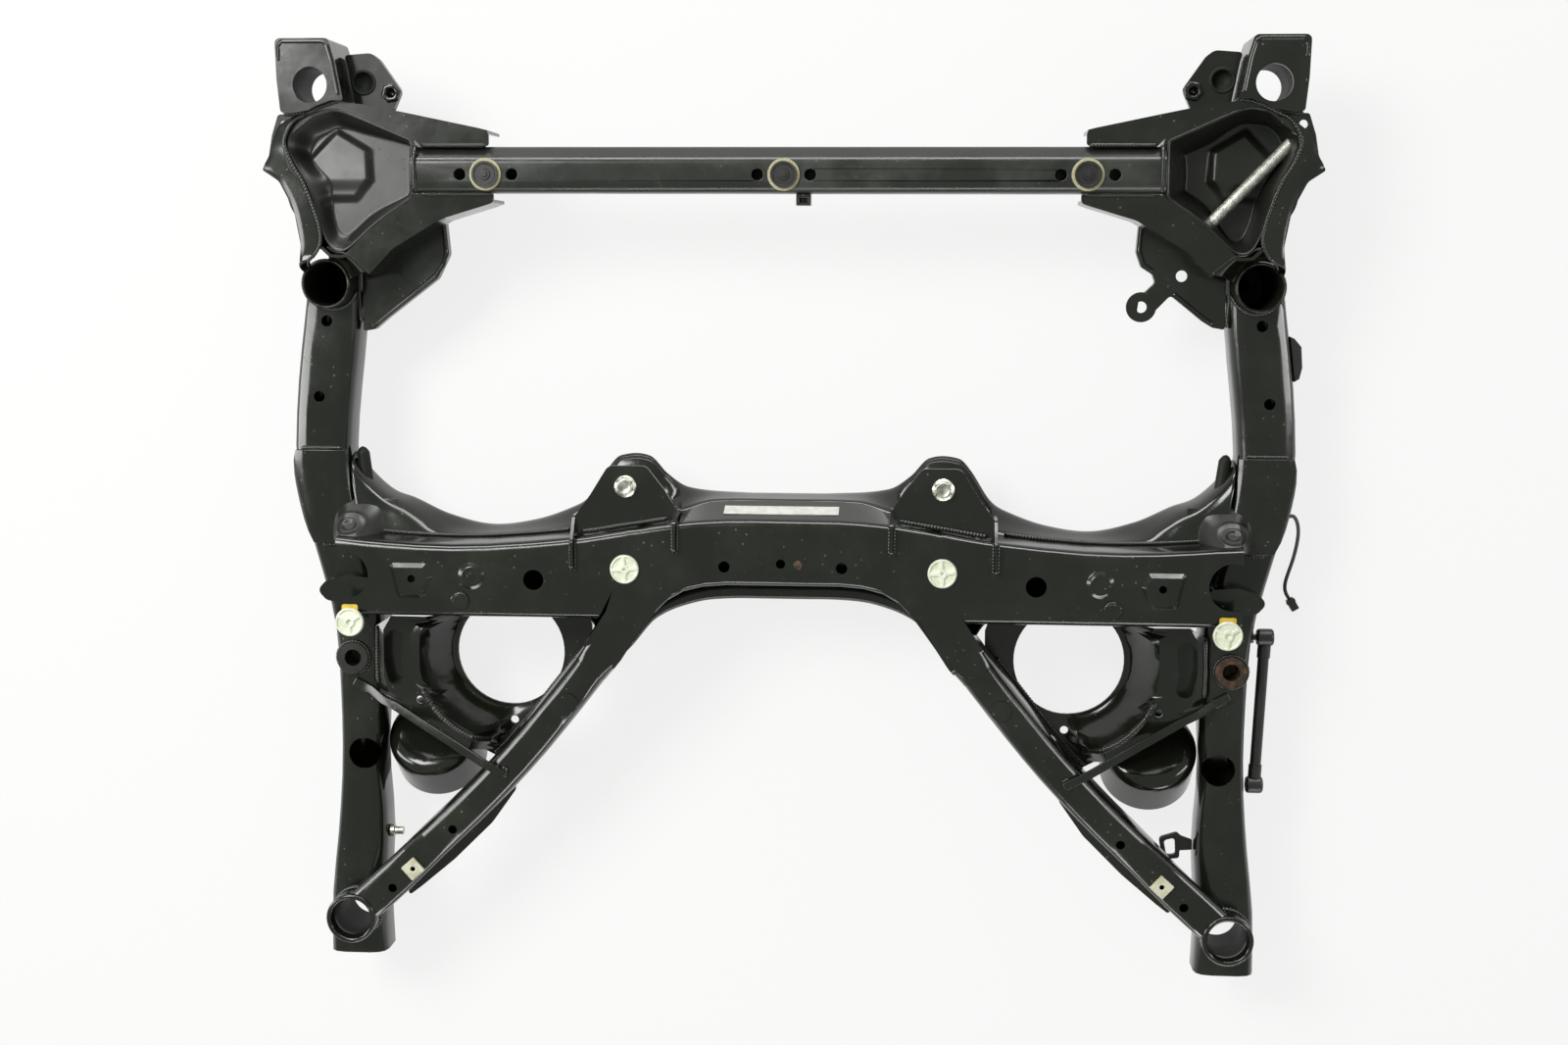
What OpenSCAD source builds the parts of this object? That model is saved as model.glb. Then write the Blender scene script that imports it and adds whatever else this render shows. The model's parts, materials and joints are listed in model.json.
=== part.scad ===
// Front axle subframe for a car, lying with its underside up.
// X runs across the car, +Y to the front of the car, +Z up; the part rests on z = 0.

/* [Overall] */
// Length from the front ears to the rear ends of the side members
overall_length = 917; // [910:1:930]
// Height of the crossmember face above the ground
face_z = 150; // [146:1:156]
// Thickness of the pressed sheet
sheet_t = 3; // [2:0.25:3.5]
// Wall of the side members and the legs
tube_t = 3; // [2:0.25:4]
// Gap left between pieces that are welded or seated together
fit_gap = 0.3; // [0.2:0.05:0.5]

/* [Front tube] */
// Width and height of the front tube
front_tube_size = 44; // [40:1:48]
// Half of the length of the front tube
front_tube_half = 357; // [340:1:358]
// Distance of the front tube's axis from the middle of the part
front_tube_y = 336; // [333:1:338]
// Height of the front tube's axis
front_tube_z = 134; // [130:1:138]
// Sideways place of the two outer studs
stud_x = 284; // [240:1:300]
// Diameter of the stud's black disc
stud_disc_d = 25; // [20:0.5:28]
// Diameter of the foam ring under the disc
foam_ring_d = 30.5; // [29:0.5:36]
// Thickness of the foam ring
foam_ring_t = 2; // [1:0.25:3]
// Diameter of the stud
stud_d = 6; // [5:0.5:8]

/* [Mount sleeves] */
// Sideways place of the front body mount sleeves
front_sleeve_x = 452; // [450:1:454]
// Lengthwise place of the front body mount sleeves
front_sleeve_y = 227; // [225:1:229]
// Outer diameter of the front sleeves
front_sleeve_d = 48.5; // [46:0.5:50]
// Height of the front sleeves, which stand on the ground
front_sleeve_h = 121; // [112:1:126]
// Sideways place of the rear body mount sleeves
rear_sleeve_x = 440; // [438:1:442]
// Lengthwise place of the rear body mount sleeves
rear_sleeve_y = -413.5; // [-416:0.5:-411]
// Outer diameter of the rear sleeves
rear_sleeve_d = 46.5; // [42:0.5:48]
// Height of the upper rim of the rear sleeves
rear_sleeve_top = 113; // [108:1:118]
// Wall of all mount sleeves
sleeve_t = 3; // [2:0.25:4]

/* [Side members] */
// Height of the side member's axis
rail_z = 73; // [71:1:75]
// Height of the side member's section
rail_h = 54; // [50:1:54]
// Diameter of the access hole in the side member
rail_hole_d = 32; // [24:1:36]
// Outer diameter of the threaded socket bushes
socket_d = 27; // [22:0.5:30]
// Bore of the socket bushes
socket_bore = 17; // [12:0.5:19]

/* [Corner pockets] */
// Depth of the corner pocket below its rim
pocket_depth = 78; // [60:1:84]
// Height of the pocket's rim
pocket_rim_z = 145; // [142:1:147]
// Bore of the front ears
ear_bore = 34; // [28:0.5:34]
// Height of the upper face of the ears
ear_top_z = 156; // [150:1:158]
// Depth of the ear box
ear_depth = 65; // [58:1:70]
// Diameter of the strut bolt across the right pocket
strut_bolt_d = 12; // [8:0.5:12]

/* [Crossmember] */
// Half of the length of the crossmember's cover
cover_half = 440; // [436:1:444]
// Height of the lower edge of the cover's front wall
lap_z = 104; // [102:1:112]
// Height of the underside of the tray
tray_z = 57; // [52:1:60]
// Bend radius of the cover's long edges
bend_r = 8; // [5:0.5:12]
// Diameter of the two drain holes in the face
drain_hole_d = 20; // [12:1:24]
// Diameter of the round push-on clips
clip_d = 28.5; // [24:0.5:32]
// Diameter of the steering gear bolts
gear_bolt_d = 10; // [8:0.5:12]

/* [Legs and gussets] */
// Width of the diagonal legs
leg_w = 37; // [32:0.5:38]
// Height of the leg's upper face at the crossmember
leg_top_front = 149; // [142:1:149]
// Height of the leg's upper face at the rear sleeve
leg_top_rear = 126; // [122:1:130]
// Diameter of the large hole in each gusset
gusset_hole_d = 110; // [100:1:112]
// Outer diameter of the engine mount cups
cup_d = 94; // [88:1:95]
// Depth of the engine mount cups
cup_depth = 55; // [45:1:58]
// Tilt of the cup axis
cup_tilt = 40; // [36:1:44]

/* [Sensor link] */
// Distance between the ball centres of the link
link_length = 150; // [120:1:160]
// Diameter of the link's rod
link_rod_d = 11; // [8:0.5:13]
// Diameter of the ball housings
link_ball_d = 17; // [15:0.5:19]

/* [Hidden] */
$fn = 48;
half_length = overall_length / 2;
// How far both ends move from their drawn places when the length changes
end_shift = half_length - 458.5;
gap = fit_gap;
rail_top = rail_z + rail_h / 2;
front_sleeve_r = front_sleeve_d / 2;
rear_sleeve_r = rear_sleeve_d / 2;
pocket_floor_z = pocket_rim_z - pocket_depth;
ear_x = 452.5;
ear_y = 415;
stud_y = front_tube_y - 5;
stud_z = front_tube_z + front_tube_size / 2;
gusset_centre = [282, -144];
gusset_hole_r = gusset_hole_d / 2;
steel = [0.11, 0.12, 0.11];

function mix(a, b, t) = a + (b - a) * t;
function clamp01(t) = max(0, min(1, t));
function smooth(t) = let (c = clamp01(t)) c * c * (3 - 2 * c);
function unit(v) = v / norm(v);

// Smooth curve through knots [place, value]; the value may be a number or a vector
function knot_at(k, u, i = 0) = (i >= len(k) - 2 || u <= k[i + 1][0]) ? i : knot_at(k, u, i + 1);
function knot_slope(k, i) =
  let (a = max(i - 1, 0), b = min(i + 1, len(k) - 1))
  (k[b][1] - k[a][1]) / (k[b][0] - k[a][0]);
function curve(k, u) =
  let (i = knot_at(k, u), h = k[i + 1][0] - k[i][0], t = clamp01((u - k[i][0]) / h))
  let (a = k[i][1], b = k[i + 1][1], ma = knot_slope(k, i) * h, mb = knot_slope(k, i + 1) * h)
  a * (2 * t * t * t - 3 * t * t + 1) + ma * (t * t * t - 2 * t * t + t)
  + b * (3 * t * t - 2 * t * t * t) + mb * (t * t * t - t * t);

// Outline with rounded corners from points [x, y, radius]
function arc_corner(a, b, c, r, n) =
  let (u = unit(a - b), v = unit(c - b), half = acos(u * v) / 2)
  let (d = min(r / tan(half), 0.48 * norm(a - b), 0.48 * norm(c - b)), rr = d * tan(half))
  let (o = b + unit(u + v) * rr / sin(half), p = b + u * d - o, q = b + v * d - o)
  let (a0 = atan2(p[1], p[0]), sweep = (atan2(q[1], q[0]) - a0 + 540) % 360 - 180)
  [for (i = [0:n]) o + rr * [cos(a0 + sweep * i / n), sin(a0 + sweep * i / n)]];
function xy(p) = [p[0], p[1]];
function rounded(pts, n = 4) =
  let (m = len(pts))
  [for (i = [0:m - 1]) each (
    pts[i][2] == 0 ? [xy(pts[i])]
    : arc_corner(xy(pts[(i + m - 1) % m]), xy(pts[i]), xy(pts[(i + 1) % m]), pts[i][2], n))];

// The same outline, counterclockwise, with each side moved inwards by d
function inset(pts, d) =
  let (m = len(pts))
  [for (i = [0:m - 1])
    let (b = xy(pts[i]), e = unit(b - xy(pts[(i + m - 1) % m])), f = unit(xy(pts[(i + 1) % m]) - b))
    let (n1 = [-e[1], e[0]], n2 = [-f[1], f[0]], p = b + (n1 + n2) * d / (1 + n1 * n2))
    [p[0], p[1], max(pts[i][2] - d, 0.5)]];

module plate(pts, z, t) {
  translate([0, 0, z]) linear_extrude(t) polygon(rounded(pts));
}

// Raised flat with sloped sides on a counterclockwise outline without hollows
module plateau(pts, slope, z, h) {
  low = rounded(pts);
  high = rounded(inset(pts, slope));
  n = len(low);
  faces = [
    for (j = [1:n - 2]) [0, j, j + 1],
    for (j = [1:n - 2]) [n, n + j + 1, n + j],
    for (j = [0:n - 1]) let (q = (j + 1) % n) each quad(j, n + j, n + q, q)
  ];
  polyhedron([for (p = low) [p[0], p[1], z], for (p = high) [p[0], p[1], z + h]], faces);
}

// Bar from one point to another with a round section
module rod(a, b, d) {
  v = b - a;
  translate(a)
    rotate([0, acos(v[2] / norm(v)), atan2(v[1], v[0])])
      cylinder(d = d, h = norm(v));
}

module tube_z(d, t, h) {
  difference() {
    cylinder(d = d, h = h);
    translate([0, 0, -1]) cylinder(d = d - 2 * t, h = h + 2);
  }
}

// Pieces of the front end move with the overall length
module at_front() {
  translate([0, end_shift, 0]) children();
}

// Left pieces are mirror images of right ones
module on_side(side) {
  if (side > 0) children();
  else mirror([1, 0, 0]) children();
}

function flat_list(g) = [for (row = g) each row];
function quad(a, b, c, d) = [[a, b, c], [a, c, d]];

// Hollow tube from outer and inner rings of points
module loft(outer, inner) {
  k = len(outer);
  n = len(outer[0]);
  o = k * n;
  faces = [
    for (i = [0:k - 2], j = [0:n - 1]) let (q = (j + 1) % n)
      each quad(i * n + j, (i + 1) * n + j, (i + 1) * n + q, i * n + q),
    for (i = [0:k - 2], j = [0:n - 1]) let (q = (j + 1) % n)
      each quad(o + i * n + j, o + i * n + q, o + (i + 1) * n + q, o + (i + 1) * n + j),
    for (j = [0:n - 1]) let (q = (j + 1) % n)
      each quad(j, q, o + q, o + j),
    for (j = [0:n - 1]) let (q = (j + 1) % n, e = (k - 1) * n)
      each quad(e + q, e + j, o + e + j, o + e + q)
  ];
  polyhedron(concat(flat_list(outer), flat_list(inner)), faces);
}

// Sheet between an upper and a lower grid of points
module pressing(upper, lower) {
  k = len(upper);
  n = len(upper[0]);
  o = k * n;
  faces = [
    for (i = [0:k - 2], j = [0:n - 2])
      each quad(i * n + j, (i + 1) * n + j, (i + 1) * n + j + 1, i * n + j + 1),
    for (i = [0:k - 2], j = [0:n - 2])
      each quad(o + i * n + j, o + i * n + j + 1, o + (i + 1) * n + j + 1, o + (i + 1) * n + j),
    for (j = [0:n - 2])
      each quad(j, j + 1, o + j + 1, o + j),
    for (j = [0:n - 2]) let (e = (k - 1) * n)
      each quad(e + j + 1, e + j, o + e + j, o + e + j + 1),
    for (i = [0:k - 2])
      each quad((i + 1) * n, i * n, o + i * n, o + (i + 1) * n),
    for (i = [0:k - 2]) let (e = n - 1)
      each quad(i * n + e, (i + 1) * n + e, o + (i + 1) * n + e, o + i * n + e)
  ];
  polyhedron(concat(flat_list(upper), flat_list(lower)), faces);
}

// Rounded box section with half sizes a and b, point at an angle
function box_point(a, b, ang, p = 4) =
  let (c = cos(ang), s = sin(ang))
  [a * sign(c) * pow(abs(c), 2 / p), b * sign(s) * pow(abs(s), 2 / p)];

// Ring of that section round a point of a level path with direction dir
function box_ring(centre, dir, a, b, n) =
  let (side = [dir[1], -dir[0], 0])
  [for (j = [0:n - 1]) let (q = box_point(a, b, 360 * (j + 0.5) / n)) centre + side * q[0] + [0, 0, q[1]]];

// Front tube: rounded section with a flat for the studs and a sloped front shoulder
module front_tube_outline(grow) {
  h = front_tube_size / 2 + grow;
  polygon(rounded([
    [-h, -h, 12], [h, -h, 12], [h, h * 0.2, 12], [h * 0.45, h, 9], [-h, h, 10]
  ]));
}
module front_tube_solid(grow, half) {
  translate([-half, front_tube_y, front_tube_z])
    rotate([90, 0, 90])
      linear_extrude(2 * half)
        front_tube_outline(grow);
}
stud_places = [-stud_x, 0, stud_x];
side_hole_pitch = 25;
module front_tube() {
  color(steel)
    difference() {
      front_tube_solid(0, front_tube_half);
      front_tube_solid(-tube_t, front_tube_half + 1);
      for (x = stud_places) {
        translate([x, stud_y, front_tube_z]) cylinder(d = stud_d + 2 * gap, h = front_tube_size);
        for (s = [-1, 1])
          translate([x + s * side_hole_pitch, stud_y, front_tube_z]) cylinder(d = 11, h = front_tube_size);
      }
    }
}

// Small hook under the front tube
hook_x = 18;
module tube_hook() {
  y0 = front_tube_y - front_tube_size / 2 - gap;
  color(steel)
    translate([hook_x, y0, front_tube_z - 6])
      difference() {
        translate([-7, -11, 0]) cube([14, 11, 16]);
        translate([-4, -8, 3]) cube([8, 4, 20]);
      }
}

disc_t = 3;
module stud_discs() {
  z0 = stud_z + foam_ring_t + 2 * gap;
  color([0.1, 0.1, 0.1])
    for (x = stud_places)
      translate([x, stud_y, z0]) {
        rotate_extrude()
          polygon([[0, 0], [stud_disc_d / 2, 0], [stud_disc_d / 2, disc_t], [stud_disc_d / 2 - 2, disc_t],
            [stud_disc_d / 2 - 3, disc_t - 1], [5.5, disc_t - 1], [5, disc_t + 0.6],
            [stud_d / 2, disc_t + 0.6], [stud_d / 2 - 0.5, disc_t + 2], [0, disc_t + 2]]);
        translate([0, 0, -foam_ring_t - 2 * gap - tube_t]) cylinder(d = stud_d, h = foam_ring_t + tube_t + 1);
      }
}
module foam_rings() {
  color([0.86, 0.85, 0.74])
    for (x = stud_places)
      translate([x, stud_y, stud_z + gap]) tube_z(foam_ring_d, (foam_ring_d - stud_d) / 2 - gap, foam_ring_t);
}

// Corner pocket: pressed basin with near flanges that reach along the front tube
tube_top_y = front_tube_y + front_tube_size / 2 + gap;
tube_low_y = front_tube_y - front_tube_size / 2 - gap;
pocket_low_y = front_sleeve_y + front_sleeve_r + gap;
pocket_wall_x = 354;
pocket_outline = [
  [pocket_wall_x, 309, 8], [391, 285, 20], [425, pocket_low_y, 10], [440, pocket_low_y + 1, 6],
  [459, 270, 14], [477, 300, 30], [485, 328, 20], [489, 362, 8],
  [448, 394, 16], [430, 397, 16], [400, 384, 20], [pocket_wall_x, 365, 8]
];
wing_outline = [
  [461.5, 250.2, 0], [470.2, 244.4, 0], [468, 264, 20], [474, 298, 40], [488, 325, 12], [504, 335.5, 2],
  [497, 349, 10], [493.5, 368.5, 6], [487, 388.1, 3], [463, 388.1, 3], [460, 382, 0], [484, 352, 10],
  [481, 330, 20], [470, 290, 30], [461, 268, 8]
];
upper_arm = [
  [283, tube_top_y, 3], [349, tube_top_y, 0], [356, 365, 8], [402, 384, 20], [430, 394, 10], [448, 390, 8],
  [445, 394.6, 3], [430, 400, 10], [400, 397, 30], [355, 388, 30], [292, 375, 6], [283, 372, 5]
];
lower_arm = [
  [279, tube_low_y, 2], [279, 305, 5], [288, 302, 6], [331, 289, 20], [378, 261, 20], [402, 236, 8],
  [409, 242, 6], [424, 256, 4], [394, 288, 20], [356, 312, 8], [349, tube_low_y, 0]
];
arm_web_depth = 55;
emboss_outline = [[417, 313, 8], [466, 304, 8], [475, 331, 10], [441, 374, 10], [416, 354, 8]];
emboss_h = 12;
emboss_slope = 7;
module corner_shell() {
  difference() {
    union() {
      plate(pocket_outline, pocket_floor_z, pocket_depth);
      plate(wing_outline, pocket_rim_z - sheet_t, sheet_t);
      plate(upper_arm, pocket_rim_z - sheet_t, sheet_t);
      plate(lower_arm, pocket_rim_z - sheet_t, sheet_t);
      plate([[284, 370, 0], [292, 371.5, 6], [355, 385, 30], [400, 394, 30], [428, 397, 0],
        [430, 400, 0], [400, 397, 30], [355, 388, 30], [292, 375, 6], [284, 373, 0]],
        pocket_rim_z - arm_web_depth, arm_web_depth);
      plate([[280, 308, 0], [280, 305, 0], [288, 302, 6], [331, 289, 20], [378, 261, 20], [402, 236, 0],
        [404, 238.5, 0], [380, 263.5, 20], [332, 292, 20], [289, 305, 6]],
        pocket_rim_z - arm_web_depth, arm_web_depth);
    }
    plate(inset(pocket_outline, sheet_t), pocket_floor_z + sheet_t, pocket_depth);
    front_tube_solid(gap, front_tube_half + gap);
    translate([482, 378, pocket_rim_z - 2 * sheet_t]) cylinder(d = 8, h = 4 * sheet_t);
    rod(strut_low, strut_high, strut_bolt_d + 2 * gap);
  }
  plateau(emboss_outline, emboss_slope, pocket_floor_z + sheet_t - 1, emboss_h);
}
module corner(side) {
  color(steel) on_side(side) corner_shell();
}

// Strut bolt across the right pocket, with its nut outside the lower wall
strut_z = 112;
strut_low = [387, 270, strut_z];
strut_high = [480, 366, strut_z];
module strut_bolt() {
  color([0.75, 0.76, 0.76])
    rod(strut_low, strut_high, strut_bolt_d);
}
module strut_nut() {
  dir = unit(strut_high - strut_low);
  across = strut_bolt_d * 1.6;
  color([0.7, 0.71, 0.71])
    difference() {
      translate(strut_low + dir * 2)
        rotate([0, 90, atan2(dir[1], dir[0])])
          cylinder(d = across, h = 9, $fn = 6);
      rod(strut_low - dir * 5, strut_high, strut_bolt_d + 0.1);
    }
}

// Front ear: folded box with a welded bush sleeve
ear_outline = [
  [420, 400.1, 2], [432, 400.6, 4], [447, 395.2, 6], [454, 391.4, 6], [470, 388.5, 6],
  [481, 388.5, 4], [484, 420, 60],
  [485, 458.5, 5], [433.5, 458.5, 5], [427, 437, 10]
];
module ear(side) {
  color(steel)
    on_side(side)
      difference() {
        plate(ear_outline, ear_top_z - ear_depth, ear_depth);
        plate(inset(ear_outline, sheet_t), ear_top_z - ear_depth - 1, ear_depth + 1 - sheet_t);
        translate([ear_x, ear_y, ear_top_z - 2 * sheet_t]) cylinder(d = ear_bore, h = 3 * sheet_t);
      }
}
ear_sleeve_t = 2;
module ear_sleeve(side) {
  h = ear_depth - sheet_t - gap;
  color(steel)
    on_side(side)
      translate([ear_x, ear_y, ear_top_z - sheet_t - gap - h])
        difference() {
          cylinder(d = ear_bore + 2 * ear_sleeve_t, h = h);
          translate([0, 0, -1]) cylinder(d = ear_bore, h = h + 2);
          ear_wall_cut();
        }
}
// Room for the ear's lower wall, which the sleeve is cut against
module ear_wall_cut() {
  translate([-ear_x, -ear_y, -ear_depth])
    linear_extrude(3 * ear_depth)
      difference() {
        translate([ear_x - ear_bore, ear_y - ear_bore]) square(2 * ear_bore);
        polygon(rounded(inset(ear_outline, sheet_t + gap)));
      }
}

// Side plate beside each ear
ear_plate_z = 117;
ear_plate_t = 9;
ear_plate_outline = [
  [381, 393.7, 2], [400, 397.4, 0], [418.8, 399.7, 0], [425.8, 437, 0], [428.6, 446, 3],
  [402, 448, 10], [394, 442, 10], [373, 412, 8]
];
module ear_plate(side) {
  color(steel)
    on_side(side)
      difference() {
        plate(ear_plate_outline, ear_plate_z + sheet_t - ear_plate_t, ear_plate_t);
        translate([410, 420, ear_plate_z + 2 * sheet_t - ear_plate_t]) cylinder(d = 19, h = ear_plate_t);
        translate([383, 410, ear_plate_z + 2 * sheet_t - ear_plate_t]) cylinder(d = 8.5, h = ear_plate_t);
      }
}

// Skirt plates under the pockets; the right one carries an eyelet
skirt_z = pocket_rim_z - arm_web_depth - sheet_t - gap;
skirt_outline = [
  [339, 288, 8], [336, 256, 10], [348, 232, 10], [399, 193, 10], [412, 182, 4], [423.8, 180, 2],
  [423.8, 246, 4], [423.5, 249, 0], [390, 283.5, 0], [352, 308, 2]
];
skirt_right_outline = [
  [339, 288, 8], [337, 260, 8], [342, 246, 6], [353, 239, 4], [356, 231, 4], [338, 214, 6], [336, 200, 6],
  [350, 197, 6], [371, 219, 4], [402, 194, 10], [412, 188, 4], [423.8, 186, 2],
  [423.8, 246, 4], [423.5, 249, 0], [390, 283.5, 0], [352, 308, 2]
];
eyelet = [343, 207.5];
skirt_rim = 8;
module skirt(side) {
  outline = side > 0 ? skirt_right_outline : skirt_outline;
  color(steel)
    on_side(side)
      difference() {
        union() {
          difference() {
            plate(outline, skirt_z - skirt_rim, sheet_t + skirt_rim);
            plate(inset(outline, sheet_t), skirt_z - skirt_rim - 1, skirt_rim + 1);
          }
          if (side > 0) translate([eyelet[0], eyelet[1], skirt_z]) cylinder(d = 29, h = sheet_t);
        }
        translate([381, 237.5, skirt_z + (side > 0 ? -1 : 1.5)])
          cylinder(d = side > 0 ? 11 : 9, h = 2 * sheet_t);
        if (side > 0) translate([eyelet[0], eyelet[1], skirt_z - 1]) cylinder(d = 11, h = sheet_t + 2);
      }
}

// Front sleeve, closed at its far end but for the bolt hole
front_bolt_hole = 14;
module front_sleeve(side) {
  color(steel)
    on_side(side)
      translate([front_sleeve_x, front_sleeve_y, 0])
        difference() {
          cylinder(d = front_sleeve_d, h = front_sleeve_h);
          translate([0, 0, sheet_t]) cylinder(d = front_sleeve_d - 2 * sleeve_t, h = front_sleeve_h);
          translate([0, 0, -1]) cylinder(d = front_bolt_hole, h = 2 * sheet_t);
        }
}
module rear_sleeve(side) {
  color(steel)
    on_side(side)
      translate([rear_sleeve_x, rear_sleeve_y - end_shift, rail_z - rail_h / 2 - 1])
        tube_z(rear_sleeve_d, sleeve_t, rear_sleeve_top - rail_z + rail_h / 2 + 1);
}

// Side member: one formed tube from the front sleeve to the rear end; [y, [middle x, half width]]
rail_knots = [
  [-half_length, [442, 30]], [-400 - end_shift, [442, 28.5]], [-330 - end_shift / 2, [436, 26.5]],
  [-255, [435, 21.5]],
  [-170, [433, 24]], [-110, [435, 26]], [-50, [448, 27]], [0, [461, 27.5]], [50, [468, 28.5]],
  [100 + end_shift / 3, [466, 29]], [150 + end_shift / 2, [460.5, 29.5]],
  [front_sleeve_y + end_shift - 12, [452.5, 28.5]]
];
rail_rings = 22;
rail_sides = 16;
function rail_y(i) = mix(-half_length, front_sleeve_y + end_shift - 8, i / rail_rings);
function rail_ring(y, shrink) =
  let (c = curve(rail_knots, y), d = curve(rail_knots, y + 1)[0] - curve(rail_knots, y - 1)[0])
  box_ring([c[0], y, rail_z], unit([d, 2]), c[1] - shrink, rail_h / 2 - shrink, rail_sides);
function rail_inner_x(y) = let (c = curve(rail_knots, y)) c[0] - c[1];
socket_x = 438.5;
socket_y = -148.5;
rail_hole_x = 430;
rail_hole_y = -248;
module rail(side) {
  color(steel)
    on_side(side)
      difference() {
        loft([for (i = [rail_rings:-1:0]) rail_ring(rail_y(i), 0)],
          [for (i = [rail_rings:-1:0]) rail_ring(rail_y(i), tube_t)]);
        translate([front_sleeve_x, front_sleeve_y + end_shift, -1])
          cylinder(r = front_sleeve_r + gap, h = 2 * rail_z);
        translate([rear_sleeve_x, rear_sleeve_y - end_shift, -1])
          cylinder(r = rear_sleeve_r + gap, h = 2 * rail_z);
        translate([socket_x, socket_y, rail_z]) cylinder(d = socket_d + 2 * gap, h = rail_h);
        translate([rail_hole_x, rail_hole_y, rail_z]) cylinder(d = rail_hole_d, h = rail_h);
        translate([458, 190 + end_shift, rail_z]) cylinder(d = 11, h = rail_h);
        translate([467.5, 115 + end_shift / 2, rail_z]) cylinder(d = 11, h = rail_h);
      }
}

socket_rim = 4;
module socket(side) {
  depth = rail_h / 2 + socket_rim;
  color([0.22, 0.19, 0.15])
    on_side(side)
      translate([socket_x, socket_y, rail_z])
        difference() {
          union() {
            cylinder(d = socket_d, h = depth);
            translate([0, 0, depth - socket_rim + gap]) cylinder(d = socket_d + 4, h = socket_rim - gap);
          }
          translate([0, 0, 4]) cylinder(d = socket_bore, h = depth);
        }
}

// Saddle: sheet shaped over the side member where the crossmember joins it
saddle_rows = 8;
saddle_cols = 8;
saddle_front = 62;
saddle_rear = -32;
saddle_wrap = [140, 30];
function saddle_point(i, j, lift) =
  let (y = mix(saddle_rear, saddle_front, i / saddle_rows), c = curve(rail_knots, y))
  let (outer = saddle_wrap[1] + 24 * pow(abs(2 * i / saddle_rows - 1), 3))
  let (q = box_point(c[1] + lift, rail_h / 2 + lift, mix(saddle_wrap[0], outer, j / saddle_cols)))
  [c[0] + q[0], y, rail_z + q[1]];
module saddle(side) {
  color(steel)
    on_side(side)
      pressing([for (i = [0:saddle_rows]) [for (j = [0:saddle_cols]) saddle_point(i, j, 3 * gap + sheet_t)]],
        [for (i = [0:saddle_rows]) [for (j = [0:saddle_cols]) saddle_point(i, j, 3 * gap)]]);
}

// Middle line of the diagonal legs: [distance along, [x, y]]
leg_knots = [
  [0, [183, -138]], [60, [221, -187]], [120, [261, -236]], [190, [309, -288]],
  [250, [352, -330]], [310, [395, -372 - end_shift * 0.7]], [355, [428, -402 - end_shift]]
];

// Crossmember lines as functions of the distance from the middle
bend_knots = [[0, 0], [54, 0], [104, -4], [151, -11], [200, -19], [294, -27.5], [cover_half - 80, -27.5],
  [cover_half, -22]];
low_knots = [[0, -62.5], [55, -62.5], [90, -67], [128, -83], [150, -108], [168, -131], [176, -130],
  [196, -98], [206, -97], [300, -97], [cover_half, -97]];
tray_knots = [[0, 22], [44, 22], [101, 27], [122, 40], [140, 58], [170, 58], [182, 46], [202, 16], [222, 4],
  [258, -8], [302, -13], [cover_half - 94, -3], [cover_half - 57, 13], [cover_half - 35, 21],
  [cover_half - 16, 38], [cover_half, 60]];
function bend_y(x) = curve(bend_knots, abs(x));
function low_y(x) = curve(low_knots, abs(x));
function tray_y(x) = curve(tray_knots, abs(x));
// How far the front wall leans forward between the face and its lower edge
function front_run(x) = mix(16, 5, smooth((abs(x) - 70) / 50));
function lip_w(x) = mix(14, 1.5, smooth((abs(x) - 150) / 30));
cover_rear_z = lap_z + 10;
// Rear edge of the cover: [station, edge point]; it runs out to the leg's root and back to the straight edge
leg_dir = unit(leg_knots[1][1] - leg_knots[0][1]);
leg_side = [-leg_dir[1], leg_dir[0]];
leg_slope = -leg_dir[0] / leg_dir[1];
leg_root = leg_knots[0][1] - leg_dir * 1.8;
leg_root_w = leg_w / 2 + 0.5;
straight_y = -97;
root_station = 152;
outer_station = 215;
cover_rear = [
  [25, [25, -62.5]], [55, [55, -62.5]], [76, [79, -64.5]], [90, [98, -69.5]], [100, [114, -79]],
  [110, [128, -93]], [120, [142, -112]], [128, [155, -130]], [135, leg_root - leg_side * leg_root_w],
  [143, leg_root], [root_station, leg_root + leg_side * leg_root_w], [154, [176, straight_y - 0.5]],
  [163, [184, straight_y]], [176, [192, straight_y]], [192, [202, straight_y]],
  [outer_station, [218, straight_y]],
  for (t = [0.155, 0.333, 0.489, 0.644, 0.778, 0.889, 1])
    let (x = mix(outer_station, cover_half, t)) [x, [x, straight_y]]
];
// Sideways place of a point of the cover: its profiles bend towards the leg's root
function cover_x(i, y) =
  let (x = cover_rear[i][0], e = cover_rear[i][1], f = bend_y(x))
  x <= root_station ? max(x, e[0] - (y - e[1]) * leg_slope)
  : mix(x, e[0], pow(clamp01((f - y) / (f - e[1])), 1.5));
// Profile of the cover from the front lap edge over the face to the rear edge; s moves it inwards
function cover_profile(i, s) =
  let (x = cover_rear[i][0], f = bend_y(x) - s, r = cover_rear[i][1][1] + s, z = face_z - s, b = bend_r)
  [
    [f + front_run(x), lap_z], [f + mix(front_run(x), 3, 0.5), mix(lap_z, z - b, 0.5)], [f + 3, z - b],
    for (a = [30, 60, 90]) [f + 3 - b + b * cos(a), z - b + b * sin(a)],
    [mix(f, r, 0.35), z], [mix(f, r, 0.65), z],
    for (a = [90, 60, 30, 0]) [r + b - b * cos(a), z - b + b * sin(a)],
    [r - 0.5, mix(cover_rear_z, z, 0.4)], [r - 1, cover_rear_z]
  ];
last_station = len(cover_rear) - 1;
cover_stations = [
  for (i = [last_station:-1:0]) -cover_rear[i][0],
  for (c = cover_rear) c[0]
];
function cover_row(i, s, side) = [for (p = cover_profile(i, s)) [side * cover_x(i, p[0]), p[0], p[1]]];
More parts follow.
